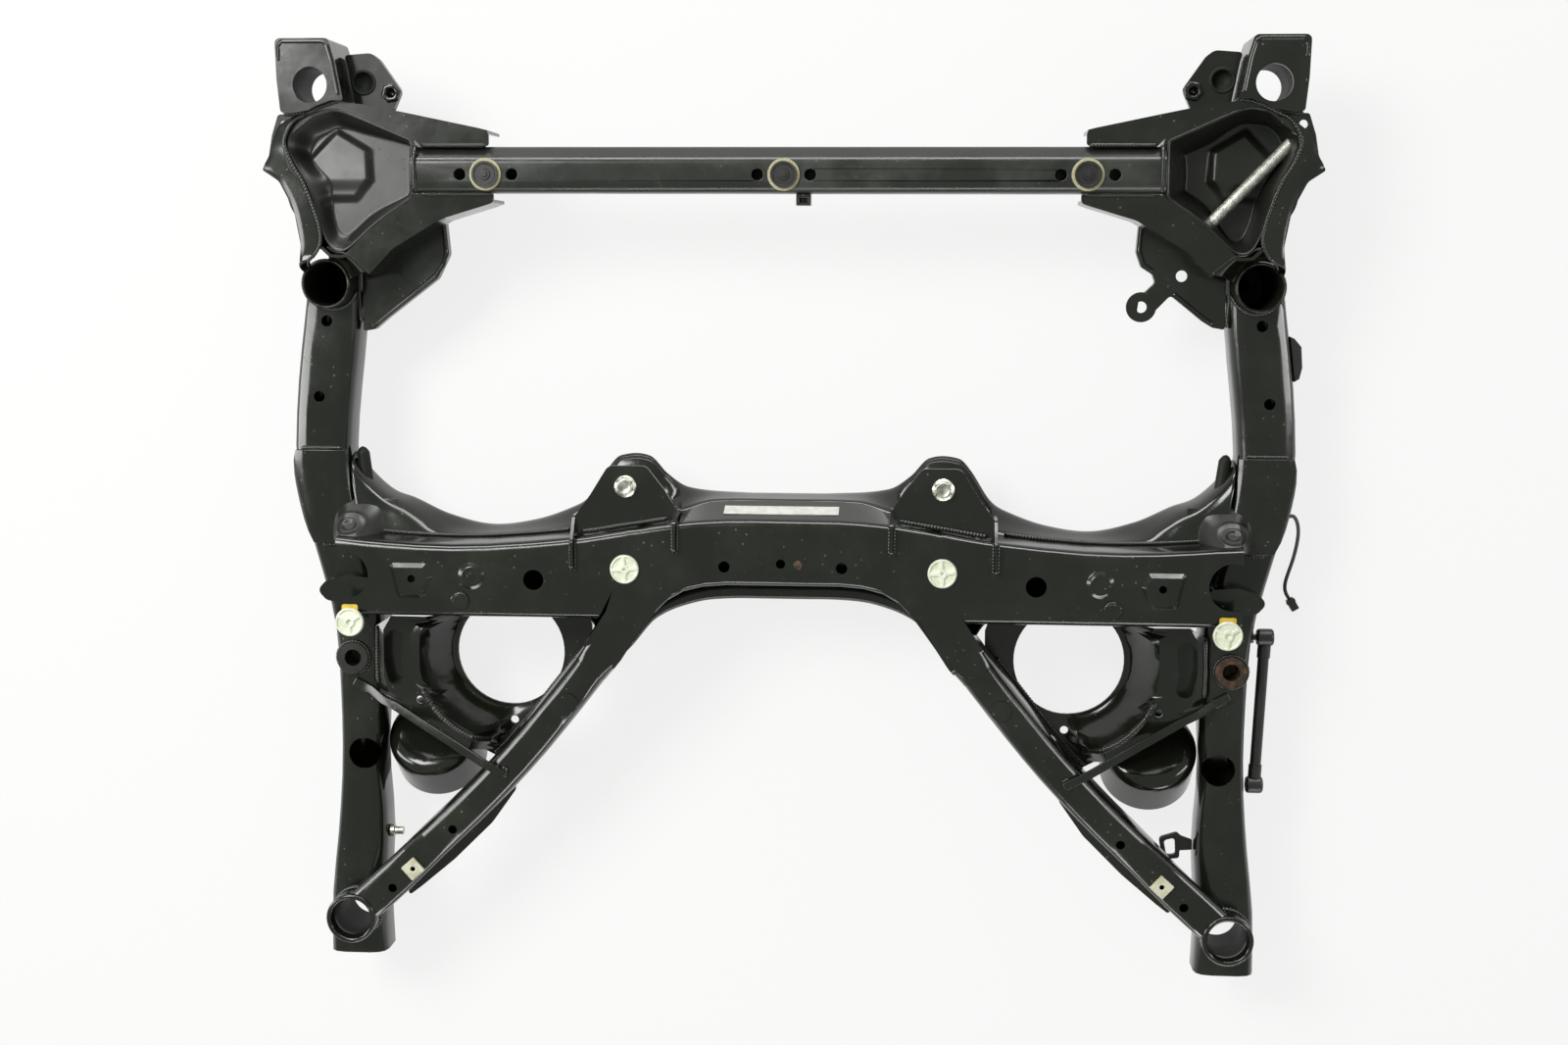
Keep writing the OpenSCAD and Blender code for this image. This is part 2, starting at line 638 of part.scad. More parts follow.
function cover_grid(s) = [
  for (i = [last_station:-1:0]) cover_row(i, s, -1),
  for (i = [0:last_station]) cover_row(i, s, 1)
];
arm_opening = [cover_half - 9, -57];
arm_opening_d = 46;
clip_pad = [cover_half - 13.5, -103];
face_clip = [154, -47];
trapezoid = [
  [cover_half - 52, -43, 4], [cover_half - 90, -43, 4], [cover_half - 97, -58, 4],
  [cover_half - 88, -80, 8], [cover_half - 60, -80, 8]
];
face_boss = [cover_half - 135, -56];
edge_boss = [cover_half - 123, -80];
module mirrored_pair() {
  children();
  mirror([1, 0, 0]) children();
}
module crossmember_cover() {
  color(steel)
    difference() {
      union() {
        pressing(cover_grid(0), cover_grid(sheet_t));
        mirrored_pair() {
          translate([face_boss[0], face_boss[1], face_z - 1]) cylinder(d = 23, h = 2.2);
          translate([face_boss[0], face_boss[1], face_z - 1]) cylinder(d = 14, h = 3.4);
          plateau(trapezoid, 5, face_z - 1, 5);
          plate([[clip_pad[0] - 9, -90, 0], [clip_pad[0] - 9, -114, 8], [clip_pad[0] + 9, -114, 8],
            [clip_pad[0] + 9, -90, 0]], face_z - sheet_t, sheet_t);
          intersection() {
            translate([edge_boss[0], edge_boss[1], face_z - 1]) cylinder(d = 18, h = 3.5);
            translate([edge_boss[0] - 17, edge_boss[1] - 8, face_z - 2]) cube([40, 18, 8]);
          }
        }
      }
      mirrored_pair() {
        translate([arm_opening[0], arm_opening[1], lap_z - 10]) cylinder(d = arm_opening_d, h = face_z);
        translate([cover_half - 196, -59, lap_z]) cylinder(d = drain_hole_d, h = face_z);
        translate([57, -43.5, lap_z]) cylinder(d = 11, h = face_z);
        translate([cover_half - 76, -59, lap_z]) cylinder(d = 7.5, h = face_z);
        translate([face_clip[0], face_clip[1], lap_z]) cylinder(d = clip_hole_d, h = face_z);
        translate([clip_pad[0], clip_pad[1], lap_z]) cylinder(d = clip_hole_d, h = face_z);
      }
      translate([-2, -40, lap_z]) cylinder(d = 9, h = face_z);
    }
}
clip_hole_d = 8;

// Tray: the crossmember's far shell, from under the cover's front wall round to the rear lip
function tray_profile(x, s) =
  let (top = lap_z - gap, b = bend_y(x) + front_run(x), e = tray_y(x) - s, r = low_y(x) - 2 + s)
  let (shelf = smooth((abs(x) - 330) / 70))
  let (wide = smooth((e - b - 25) / 20), low = tray_z + s)
  let (mid_y = mix(mix(mix(b, e, 0.35), b + 9, wide), e - 9, shelf))
  let (mid_z = mix(mix(86, tray_z + 21, wide), top - 3, shelf))
  [
    [b - s, top], [mid_y - s * 0.6, mid_z - s * shelf * 0.8],
    [e - 1, low + 10], [e - 3.5, low + 3.5], [e - 10, low],
    [mix(e - 10, r + 8, 0.35), low], [mix(e - 10, r + 8, 0.7), low],
    [r + 8, low], [r + 2.5, low + 2.5], [r, low + 8],
    [r - 1, mix(low, 100, 0.6)], [r - 2, 106 - sheet_t + s], [r - 3 - lip_w(x), 107 - sheet_t + s + 2]
  ];
// Outer stations are drawn in to end against the side member
function tray_x(x, y) =
  sign(x) * (abs(x) - smooth((abs(x) - 340) / (cover_half - 340)) * (cover_half - rail_inner_x(y) + 1));
function tray_grid(s) =
  [for (x = cover_stations) [for (p = tray_profile(x, s)) [tray_x(x, p[0]), p[0], p[1]]]];
module crossmember_tray() {
  color(steel)
    pressing(tray_grid(sheet_t), tray_grid(0));
}

// Steering gear bracket: tab plate before the crossmember, with two side flanges over its front bend
gear_bolt_y = 33;
gear_plate_z = 138;
gear_flange = 3;
function gear_seat(x) = bend_y(x) + front_run(x) + 2 * gap;
module gear_flange_at(x, out_y) {
  seat = gear_seat(x);
  translate([x - gear_flange / 2, 0, 0])
    rotate([90, 0, 90])
      linear_extrude(gear_flange)
        polygon(rounded([
          [out_y, gear_plate_z - 34, 4], [out_y, gear_plate_z + sheet_t, 6], [seat - 6, face_z + 9, 8],
          [seat - 32, face_z + 8, 4], [seat - 34, face_z + gap, 2], [seat - 3, face_z + gap, 2],
          [seat, face_z - 6, 4], [seat + 0.3, gear_plate_z - 34, 0]
        ]));
}
module gear_bracket(side) {
  in_x = 105;
  out_x = 205;
  color(steel)
    on_side(side)
      difference() {
        union() {
          plate([[out_x, gear_seat(out_x), 0], [out_x, 2, 10], [189, 24, 12], [171, 53, 9], [134, 53, 9],
            [116, 30, 14], [in_x, 12, 8], [in_x, gear_seat(in_x), 0], [155, gear_seat(155), 0]],
            gear_plate_z, sheet_t);
          gear_flange_at(out_x, 4);
          gear_flange_at(in_x, 14);
        }
        translate([face_clip[0], gear_bolt_y, gear_plate_z - 1])
          cylinder(d = gear_bolt_d + 2 * gap, h = sheet_t + 2);
      }
}
gear_head_z = gear_plate_z + sheet_t + gap;
gear_nut_z = tray_z + 20 + gap;
gear_nut_h = 16;
module gear_bolts() {
  tip = gear_nut_z + 2;
  color([0.78, 0.8, 0.78])
    for (s = [-1, 1])
      translate([s * face_clip[0], gear_bolt_y, 0]) {
        translate([0, 0, tip]) cylinder(d = gear_bolt_d, h = gear_head_z - tip + 1);
        difference() {
          union() {
            translate([0, 0, gear_head_z]) cylinder(d = 2.2 * gear_bolt_d, h = 2.5);
            translate([0, 0, gear_head_z]) cylinder(d = 1.55 * gear_bolt_d, h = 8);
          }
          translate([0, 0, gear_head_z + 4]) cylinder(d = 0.8 * gear_bolt_d, h = 8, $fn = 6);
        }
      }
}
// Weld nuts on the tray that the steering gear bolts end in
module gear_nuts() {
  color([0.3, 0.3, 0.28])
    for (s = [-1, 1])
      translate([s * face_clip[0], gear_bolt_y, gear_nut_z])
        difference() {
          cylinder(d = 1.9 * gear_bolt_d, h = gear_nut_h, $fn = 6);
          translate([0, 0, -1]) cylinder(d = gear_bolt_d + gap, h = gear_nut_h + 2);
        }
}

// Nose of the control arm bracket on the side member
nose_outline = [
  [411, -87, 4], [440, -90, 10], [459, -87, 8], [468, -77, 6], [460, -68, 8], [440, -62, 8], [413, -64, 6]
];
nose_h = 20;
module arm_nose(side) {
  z0 = rail_top + gap;
  color(steel)
    on_side(side)
      difference() {
        plate(nose_outline, z0, nose_h);
        plate(inset(nose_outline, sheet_t), z0 - 1, nose_h + 1 - sheet_t);
        translate([405, -95, z0 - 1]) cube([10, 40, nose_h + 1 - sheet_t]);
      }
}

// Diagonal leg: tapered tube, flattened where it lies on the side member
leg_rings = 14;
leg_sides = 16;
leg_length = 355;
leg_seat_z = rail_top + gap + 0.5;
gusset_seat_z = 82;
function leg_floor(u) = mix(gusset_seat_z + gap, leg_seat_z, smooth((u - 235) / 55));
function leg_top(u) = mix(leg_top_front, leg_top_rear, u / leg_length);
function leg_ring(u, shrink) =
  let (c = curve(leg_knots, u), d = unit(curve(leg_knots, u + 1) - curve(leg_knots, u - 1)))
  let (top = leg_top(u) - shrink, low = leg_floor(u) + shrink)
  box_ring([c[0], c[1], (top + low) / 2], d, leg_w / 2 - shrink, (top - low) / 2, leg_sides);
square_nut_u = 284;
square_nut = curve(leg_knots, square_nut_u) + [-2.9, -3.9];
leg_boss_u = 51;
leg_boss = curve(leg_knots, leg_boss_u) + [-3, -2.2];
// Flange along the leg's lower side
leg_flange_z = 103;
leg_flange = [
  [273.2, -272.8, 0], [273, -281, 5], [297.3, -315.4, 30], [336.4, -354.4, 30], [371.6, -384.2, 20],
  [387, -396, 4], [383.2, -382.8, 0], [297.2, -298.8, 0]
];
module leg(side) {
  color(steel)
    on_side(side)
      difference() {
        union() {
          loft([for (i = [leg_rings:-1:0]) leg_ring(leg_length * i / leg_rings, 0)],
            [for (i = [leg_rings:-1:0]) leg_ring(leg_length * i / leg_rings, tube_t)]);
          plate(leg_flange, leg_flange_z, sheet_t);
          translate([leg_boss[0], leg_boss[1], leg_top(leg_boss_u) - 2.5]) cylinder(d = 20, h = 4.2);
        }
        translate([rear_sleeve_x, rear_sleeve_y - end_shift, 0])
          cylinder(r = rear_sleeve_r + gap, h = 2 * face_z);
        for (p = [[332, -316], [396, -380 - end_shift * 0.8], square_nut])
          translate([p[0], p[1], 112]) cylinder(d = 9, h = face_z);
      }
}

// Square nuts clipped on the legs
module square_nuts() {
  color([0.86, 0.86, 0.78])
    for (s = [-1, 1])
      on_side(s)
        translate([square_nut[0], square_nut[1], leg_top(square_nut_u - 13) + gap])
          rotate([0, 0, 48])
            difference() {
              translate([-8.5, -8.5, 0]) cube([17, 17, 3]);
              translate([0, 0, -1]) cylinder(d = 5, h = 6);
            }
}

// Gusset: sheet dished round its large hole, [radius beyond the hole, height]
gusset_steps = [[0, 74], [4, 73], [9, 76], [18, 92], [25, 106], [30, 113], [36, 113], [42, 110], [80, 110]];
gusset_side_steps = [[0, 77], [4, 77], [9, 78.5], [18, 79], [80, 79]];
// The leg's upper edge as a line: its normal and its distance from the origin
leg_normal = [0.74, 0.676];
leg_edge = 54;
gusset_angles = 36;
gusset_from = 41;
gusset_to = -221;
gusset_top_d = gusset_centre[1] - low_y(300) + 5 + lip_w(300) + 2 * gap;
// Distance from the hole's middle to the sheet's edge in a direction
function edge_reach(dir, normal, d) = let (c = dir * normal) c > 0.05 ? d / c : 1000;
function gusset_reach(dir) =
  min(edge_reach(dir, [0, 1], -gusset_top_d), edge_reach(dir, [1, 0], 133),
    edge_reach(dir, [0.519, -0.855], 101), edge_reach(dir, -leg_normal, 72), edge_reach(dir, [-1, 0], 84));
function gusset_point(i, j, lift) =
  let (a = mix(gusset_from, gusset_to, i / gusset_angles), dir = [cos(a), sin(a)])
  let (reach = max(gusset_reach(dir), gusset_hole_r + 3), r = mix(gusset_hole_r, reach, pow(j / 9, 1.15)))
  let (p = gusset_centre + r * dir, d = r - gusset_hole_r)
  let (outer = smooth((p * leg_normal - leg_edge - 4) / 20) * smooth((dir[0] + 0.5) / 0.6))
  let (z = mix(curve(gusset_side_steps, d), curve(gusset_steps, d), outer))
  [p[0], p[1], mix(z, rail_top + sheet_t - 1.6, smooth((p[0] - 404) / 9)) + lift];
// Drawn recess in the gusset beside the side member
kidney = [
  [384, -172, 8], [400, -175, 8], [405, -150, 20], [404.5, -126, 8], [396, -116, 8], [384, -121, 8],
  [387, -148, 20]
];
kidney_z = 90;
module gusset(side) {
  color(steel)
    on_side(side)
      difference() {
        union() {
          pressing([for (i = [0:gusset_angles]) [for (j = [0:9]) gusset_point(gusset_angles - i, j, 0)]],
            [for (i = [0:gusset_angles]) [for (j = [0:9]) gusset_point(gusset_angles - i, j, -sheet_t)]]);
          plate(inset(kidney, -sheet_t), kidney_z, 17.3);
        }
        plate(kidney, kidney_z + sheet_t, 60);
        translate([368.5, -189, 60]) cylinder(d = 8, h = 80);
        translate([278.5, -214.5, 60]) cylinder(d = 8, h = 80);
      }
}

// Engine mount cup: deep drawn, open downwards, tilted to the rear
cup_r = cup_d / 2;
cup_x = rail_inner_x(-255) - cup_r - 1;
cup_rim_z = cup_r * sin(cup_tilt);
cup_rim_y = -264;
module cup_place() {
  translate([cup_x, cup_rim_y, cup_rim_z]) rotate([-cup_tilt, 0, 0]) children();
}
cup_corner = 12;
module cup_profile(s) {
  r = cup_r - s;
  h = cup_depth - s;
  polygon([[0, s > 0 ? -1 : 0], [r, s > 0 ? -1 : 0], [r, h - cup_corner],
    for (a = [15:15:90]) [r - cup_corner + cup_corner * cos(a), h - cup_corner + cup_corner * sin(a)],
    [0, h]]);
}
module cup(side) {
  color(steel)
    on_side(side)
      cup_place()
        rotate_extrude($fn = 72)
          difference() {
            cup_profile(0);
            cup_profile(sheet_t);
          }
}

// Bracket that hangs the cup from the gusset's edge
module cup_bracket(side) {
  a = [405, -193];
  b = [325, -241];
  dir = unit(b - a);
  n = [-dir[1], dir[0]] * 3;
  color(steel)
    on_side(side)
      difference() {
        translate([0, 0, 58]) linear_extrude(49 - gap) polygon([a, b, b - n, a - n]);
        cup_place() translate([0, 0, -40]) cylinder(r = cup_r + gap, h = cup_depth + 40 + gap);
      }
}

// Brace strap from the side member over the gusset's edge to the leg
brace_from = [432, -175.2];
brace_to = [278.5, -255.2];
brace_w = 8;
brace_t = 4;
module brace(side) {
  run = brace_to - brace_from;
  n = norm(run);
  z0 = rail_top + 2 * gap;
  z1 = leg_top(141) + gap;
  line = [[-6, z0], [13, z0], [29, z0 + 11], [46, z0 + 11.5], [n - 23, z1], [n + 3, z1]];
  color(steel)
    on_side(side)
      translate([brace_from[0], brace_from[1], 0])
        rotate([90, 0, atan2(run[1], run[0])])
          translate([0, 0, -brace_w / 2])
            linear_extrude(brace_w)
              polygon([for (p = line) p, for (i = [len(line) - 1:-1:0]) line[i] + [0, brace_t]]);
}

// Round push-on clips: a domed disc on a barbed stem
clip_rise = 4.5;
module push_clip() {
  rotate_extrude()
    polygon([[0, -10], [2.2, -10], [clip_hole_d / 2 - gap, -6], [clip_hole_d / 2 - gap, 0], [clip_d / 2, 0],
      [clip_d / 2, 1.6], [clip_d / 2 - 2.5, 2.8], [5, clip_rise], [2.5, clip_rise],
      [2.5, clip_rise - 2], [0, clip_rise - 2]]);
}
module face_clips() {
  color([0.84, 0.86, 0.78])
    for (s = [-1, 1])
      translate([s * face_clip[0], face_clip[1], face_z + gap]) push_clip();
}
module corner_clips() {
  color([0.86, 0.87, 0.8])
    for (s = [-1, 1])
      translate([s * clip_pad[0], clip_pad[1], face_z + tag_t + 2 * gap]) push_clip();
}
// Yellow tag held under each corner clip
tag_t = 1.2;
module clip_tags() {
  color([0.86, 0.74, 0.2])
    for (s = [-1, 1])
      translate([s * clip_pad[0], clip_pad[1], face_z + gap])
        difference() {
          linear_extrude(tag_t)
            polygon(rounded([[-8, -6, 3], [8, -6, 3], [8, clip_d / 2 + 3, 2], [-8, clip_d / 2 + 3, 2]]));
          translate([0, 0, -1]) cylinder(d = clip_hole_d + 1, h = 4);
        }
}

// Level sensor link on its ball stud at the right side member
link_y = -118;
link_x = 475;
link_lean = -6;
stud_pin_d = 6;
module ball_stud() {
  base_x = max(rail_outer_x(link_y - stud_pin_d), rail_outer_x(link_y + stud_pin_d)) + gap;
  color([0.2, 0.2, 0.19])
    translate([base_x, link_y, rail_z])
      rotate([0, 90, 0]) {
        cylinder(d = stud_pin_d, h = link_x - base_x + 4);
        cylinder(d = 2 * stud_pin_d, h = 2.5);
      }
}
// Ball housing: a barrel across the link with rounded rims
module ball_housing() {
  r = link_ball_d / 2;
  rim = 3;
  rotate([0, 90, 0])
    rotate_extrude()
      polygon([[0, -r], for (a = [-90:30:0]) [r - rim + rim * cos(a), -r + rim + rim * sin(a)],
        for (a = [0:30:90]) [r - rim + rim * cos(a), r - rim + rim * sin(a)], [0, r]]);
}
module sensor_link() {
  a = [link_x, link_y, rail_z];
  b = [link_x + link_lean, link_y - link_length, rail_z];
  v = unit(b - a);
  neck = 12;
  color([0.07, 0.07, 0.07])
    difference() {
      union() {
        translate(a) ball_housing();
        translate(b) ball_housing();
        rod(a + v * 4, b - v * 4, link_rod_d);
        rod(a + v * link_ball_d / 2, a + v * (link_ball_d / 2 + neck), link_rod_d + 2);
        rod(b - v * (link_ball_d / 2 + neck), b - v * link_ball_d / 2, link_rod_d + 2);
      }
      translate([a[0] - link_ball_d, a[1], a[2]])
        rotate([0, 90, 0]) cylinder(d = stud_pin_d + 2 * gap, h = link_ball_d + 4 + 2 * gap);
      translate([b[0] - link_ball_d, b[1], b[2]])
        rotate([0, 90, 0]) cylinder(d = stud_pin_d + 2 * gap, h = link_ball_d + 4);
    }
}

// Sensor housing on the outside of the right side member
function rail_outer_x(y) = let (c = curve(rail_knots, y)) c[0] + c[1];
module sensor_housing() {
  ys = [136, 147, 158, 169, 180];
  color([0.09, 0.09, 0.09])
    translate([0, 0, rail_z - 15])
      linear_extrude(30)
        polygon([
          for (y = ys) [rail_outer_x(y) + 2 * gap, y],
          [rail_outer_x(180) + 5, 178], [498, 170], [499.5, 150], [497, 139]
        ]);
}

// Cable loop on the inside of the right side member
module cable_clip() {
  inner = curve(rail_knots, -333)[0] - curve(rail_knots, -333)[1];
  color([0.08, 0.08, 0.08])
    translate([0, 0, rail_z - 2])
      linear_extrude(5)
        difference() {
          polygon(rounded([[376, -324, 4], [380, -347, 4], [397, -345, 3], [397, -337, 1],
            [inner - gap, -336, 0], [inner - gap, -326, 0], [398, -322, 3], [394, -318, 4]]));
          polygon(rounded([[381, -327, 3], [384, -342, 3], [393, -341, 3], [392, -324, 3]]));
        }
}

// Earth stud on the inside of the left side member
module earth_stud() {
  inner = curve(rail_knots, -334)[0] - curve(rail_knots, -334)[1];
  color([0.6, 0.61, 0.6])
    mirror([1, 0, 0]) {
      rod([inner - gap, -334, rail_z + 6], [inner - 13, -334, rail_z + 6], 8);
      rod([inner - gap, -334, rail_z + 6], [inner - 4, -334, rail_z + 6], 13);
    }
}

// Bare paper label on the leaning front wall in the middle
label_w = 112;
label_h = 18;
label_t = 0.4;
module label() {
  lean = atan2(front_run(0) - 3, face_z - bend_r - lap_z);
  mid_z = mix(lap_z, face_z - bend_r, 0.55);
  mid_y = mix(front_run(0), 3, 0.55);
  color([0.93, 0.93, 0.92])
    translate([-3, mid_y, mid_z])
      rotate([-90 + lean, 0, 0])
        translate([-label_w / 2, -label_h / 2, gap])
          cube([label_w, label_h, label_t]);
}

// Sensor cable: leaves the right side member and lies down to the ground
cable_d = 3.7;
cable_route = [
  [490.5, 2, 76], [494.5, 3.5, 75.5], [499, 3, 72], [504, -3, 63], [508, -13, 51], [510, -25, 38],
  [510.5, -38, 25], [510, -50, 14], [508, -62, 6.5], [506, -72, 3], [505.5, -79, 2.5],
  [507, -85, 2.5], [510, -90, 2.5]
];
cable_sides = 8;
function route_dir(i) = unit(cable_route[min(i + 1, len(cable_route) - 1)] - cable_route[max(i - 1, 0)]);
function cable_ring(i) =
  let (d = route_dir(i), u = unit(cross(d, abs(d[2]) > 0.9 ? [1, 0, 0] : [0, 0, 1])), v = cross(d, u))
  [for (j = [0:cable_sides - 1]) let (a = 360 * j / cable_sides)
    cable_route[i] + cable_d / 2 * (u * cos(a) + v * sin(a))];
module cable() {
  k = len(cable_route);
  n = cable_sides;
  faces = [
    for (i = [0:k - 2], j = [0:n - 1]) let (q = (j + 1) % n)
      each quad(i * n + j, (i + 1) * n + j, (i + 1) * n + q, i * n + q),
    [for (j = [0:n - 1]) j],
    [for (j = [0:n - 1]) k * n - 1 - j]
  ];
  color([0.06, 0.06, 0.06])
    polyhedron([for (i = [0:k - 1]) each cable_ring(i)], faces);
}
module cable_plug() {
  e = len(cable_route) - 1;
  d = unit([cable_route[e][0] - cable_route[e - 1][0], cable_route[e][1] - cable_route[e - 1][1]]);
  color([0.06, 0.06, 0.06])
    translate([cable_route[e][0] + d[0] * gap, cable_route[e][1] + d[1] * gap, 0])
      rotate([0, 0, atan2(d[1], d[0])]) {
        translate([0, -4, 0]) cube([13, 8, 7]);
        translate([2, -4.8, 1]) cube([3, 9.6, 5]);
      }
}

at_front() front_tube();
at_front() tube_hook();
at_front() stud_discs();
at_front() foam_rings();
at_front() corner(-1);  // corner_left
at_front() corner(1);  // corner_right
at_front() ear(-1);  // ear_left
at_front() ear(1);  // ear_right
at_front() ear_sleeve(-1);  // ear_sleeve_left
at_front() ear_sleeve(1);  // ear_sleeve_right
at_front() ear_plate(-1);  // ear_plate_left
at_front() ear_plate(1);  // ear_plate_right
at_front() skirt(-1);  // skirt_left
at_front() skirt(1);  // skirt_right
at_front() front_sleeve(-1);  // front_sleeve_left
at_front() front_sleeve(1);  // front_sleeve_right
rail(-1);  // rail_left
rail(1);  // rail_right
saddle(-1);  // saddle_left
saddle(1);  // saddle_right
crossmember_cover();
crossmember_tray();
gear_bracket(-1);  // gear_bracket_left
gear_bracket(1);  // gear_bracket_right
gear_bolts();
gear_nuts();
arm_nose(-1);  // arm_nose_left
arm_nose(1);  // arm_nose_right
leg(-1);  // leg_left
leg(1);  // leg_right
gusset(-1);  // gusset_left
gusset(1);  // gusset_right
cup(-1);  // cup_left
cup(1);  // cup_right
cup_bracket(-1);  // cup_bracket_left
cup_bracket(1);  // cup_bracket_right
brace(-1);  // brace_left
brace(1);  // brace_right
rear_sleeve(-1);  // rear_sleeve_left
rear_sleeve(1);  // rear_sleeve_right
socket(-1);  // socket_left
socket(1);  // socket_right
face_clips();
corner_clips();
clip_tags();
square_nuts();
at_front() strut_bolt();
at_front() strut_nut();
ball_stud();
sensor_link();
sensor_housing();
cable_clip();
earth_stud();
label();
cable();
cable_plug();
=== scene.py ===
import json
import math

import bpy
import numpy as np
from mathutils import Matrix, Vector
from mathutils.bvhtree import BVHTree


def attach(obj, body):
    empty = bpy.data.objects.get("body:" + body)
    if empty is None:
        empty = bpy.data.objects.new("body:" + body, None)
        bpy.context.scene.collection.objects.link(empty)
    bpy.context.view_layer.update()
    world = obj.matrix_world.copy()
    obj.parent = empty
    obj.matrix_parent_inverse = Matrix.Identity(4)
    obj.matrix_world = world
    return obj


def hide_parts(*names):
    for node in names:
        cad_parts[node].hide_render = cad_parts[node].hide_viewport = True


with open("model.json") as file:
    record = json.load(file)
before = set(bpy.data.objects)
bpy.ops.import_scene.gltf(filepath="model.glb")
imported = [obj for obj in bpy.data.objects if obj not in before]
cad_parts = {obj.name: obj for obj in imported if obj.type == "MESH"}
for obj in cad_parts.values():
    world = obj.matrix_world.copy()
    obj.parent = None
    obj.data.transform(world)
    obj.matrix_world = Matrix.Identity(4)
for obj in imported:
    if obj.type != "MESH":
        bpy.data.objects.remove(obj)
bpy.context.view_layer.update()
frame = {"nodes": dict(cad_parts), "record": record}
nodes = frame["nodes"]
mm = 0.001
print("frame loaded:", len(nodes), "nodes")


# Camera fitted to the photo: a point P in millimetres lands at R P + t, looking along -Z
cameraFit = {
    "focalPixels": 2044,
    "imageWidth": 1600,
    "turnDegrees": (7.22, -3.97, -0.47),
    "shift": (-1.2, -0.6, -1931),
    "faceHeight": 150,  # the crossmember's face, zero height of the fit
}


def placeCamera(fit):
    turn = Vector([math.radians(angle) for angle in fit["turnDegrees"]])
    back = Matrix.Rotation(turn.length, 3, turn.normalized()).transposed()
    place = -(back @ Vector(fit["shift"])) + Vector((0, 0, fit["faceHeight"]))
    data = bpy.data.cameras.new("photoCamera")
    data.sensor_fit = "HORIZONTAL"
    data.sensor_width = 36
    data.lens = fit["focalPixels"] / fit["imageWidth"] * data.sensor_width
    data.clip_end = 50
    camera = bpy.data.objects.new("photoCamera", data)
    camera.matrix_world = Matrix.Translation(place * mm) @ back.to_4x4()
    bpy.context.scene.collection.objects.link(camera)
    bpy.context.scene.camera = camera


placeCamera(cameraFit)


def hexColour(text):
    # sRGB to linear: c / 12.92 below 0.04045, else ((c + 0.055) / 1.055) ** 2.4
    values = [int(text[i:i + 2], 16) / 255 for i in (1, 3, 5)]
    linear = [c / 12.92 if c <= 0.04045 else ((c + 0.055) / 1.055) ** 2.4 for c in values]
    return (*linear, 1)


def addNode(tree, kind, values=None, links=None):
    # a node with its settings, by property or by input, and the sockets that feed it
    node = tree.nodes.new(kind)
    for key, value in (values or {}).items():
        if isinstance(key, str) and hasattr(node, key):
            setattr(node, key, value)
        else:
            node.inputs[key].default_value = value
    for key, source in (links or {}).items():
        tree.links.new(source, node.inputs[key])
    return node


def newMaterial(name):
    material = bpy.data.materials.new(name)
    material.use_nodes = True
    tree = material.node_tree
    tree.nodes.clear()
    shader = addNode(tree, "ShaderNodeBsdfPrincipled")
    addNode(tree, "ShaderNodeOutputMaterial", links={"Surface": shader.outputs["BSDF"]})
    return material, tree, shader


def ramp(tree, source, stops):
    # colour bands over a value: stops is a list of (place, hex colour or grey level)
    node = addNode(tree, "ShaderNodeValToRGB", links={"Fac": source})
    elements = node.color_ramp.elements
    while len(elements) < len(stops):
        elements.new(0.5)
    for element, (place, tone) in zip(elements, stops):
        element.position = place
        element.color = hexColour(tone) if isinstance(tone, str) else (tone, tone, tone, 1)
    return node.outputs["Color"]


def perMetre(sizeMm):
    # pattern scale for a feature of that size, as Object coordinates are in metres
    return 1000 / sizeMm


# Sensor cable: its sheath on the route of the CAD cable, in millimetres
sensorCable = {
    "route": [
        (490.5, 2, 76), (494.5, 3.5, 75.5), (499, 3, 72), (504, -3, 63), (508, -13, 51), (510, -25, 38),
        (510.5, -38, 25), (510, -50, 14), (508, -62, 6.5), (506, -72, 3), (505.5, -79, 2.5), (507, -85, 2.5),
        (510, -90, 2.5),
    ],
    "diameter": 3.7,
    "pointsPerSpan": 3,
}


def smoothPath(points, perSpan):
    # Catmull-Rom: each span is a cubic whose end slopes are half the chord of its neighbours
    p = np.array(points, float)
    p = np.vstack([2 * p[0] - p[1], p, 2 * p[-1] - p[-2]])
    t = (np.arange(perSpan) / perSpan)[None, :, None]
    a, b, c, d = (p[i:len(p) - 3 + i, None, :] for i in range(4))
    span = 2 * b + (c - a) * t + (2 * a - 5 * b + 4 * c - d) * t ** 2
    span = 0.5 * (span + (3 * b - a - 3 * c + d) * t ** 3)
    return np.vstack([span.reshape(-1, 3), p[-2]])


def makeCable(spec, material):
    path = smoothPath(spec["route"], spec["pointsPerSpan"]) * mm
    curve = bpy.data.curves.new("sensorCable", "CURVE")
    curve.dimensions = "3D"
    curve.bevel_depth = spec["diameter"] / 2 * mm
    curve.bevel_resolution = 4
    curve.use_fill_caps = True
    spline = curve.splines.new("POLY")
    spline.points.add(len(path) - 1)
    spline.points.foreach_set("co", np.hstack([path, np.ones((len(path), 1))]).ravel())
    spline.use_smooth = True
    cable = bpy.data.objects.new("sensorCableSheath", curve)
    bpy.context.scene.collection.objects.link(cable)
    curve.materials.append(material)
    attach(cable, "frame")
    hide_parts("cable")


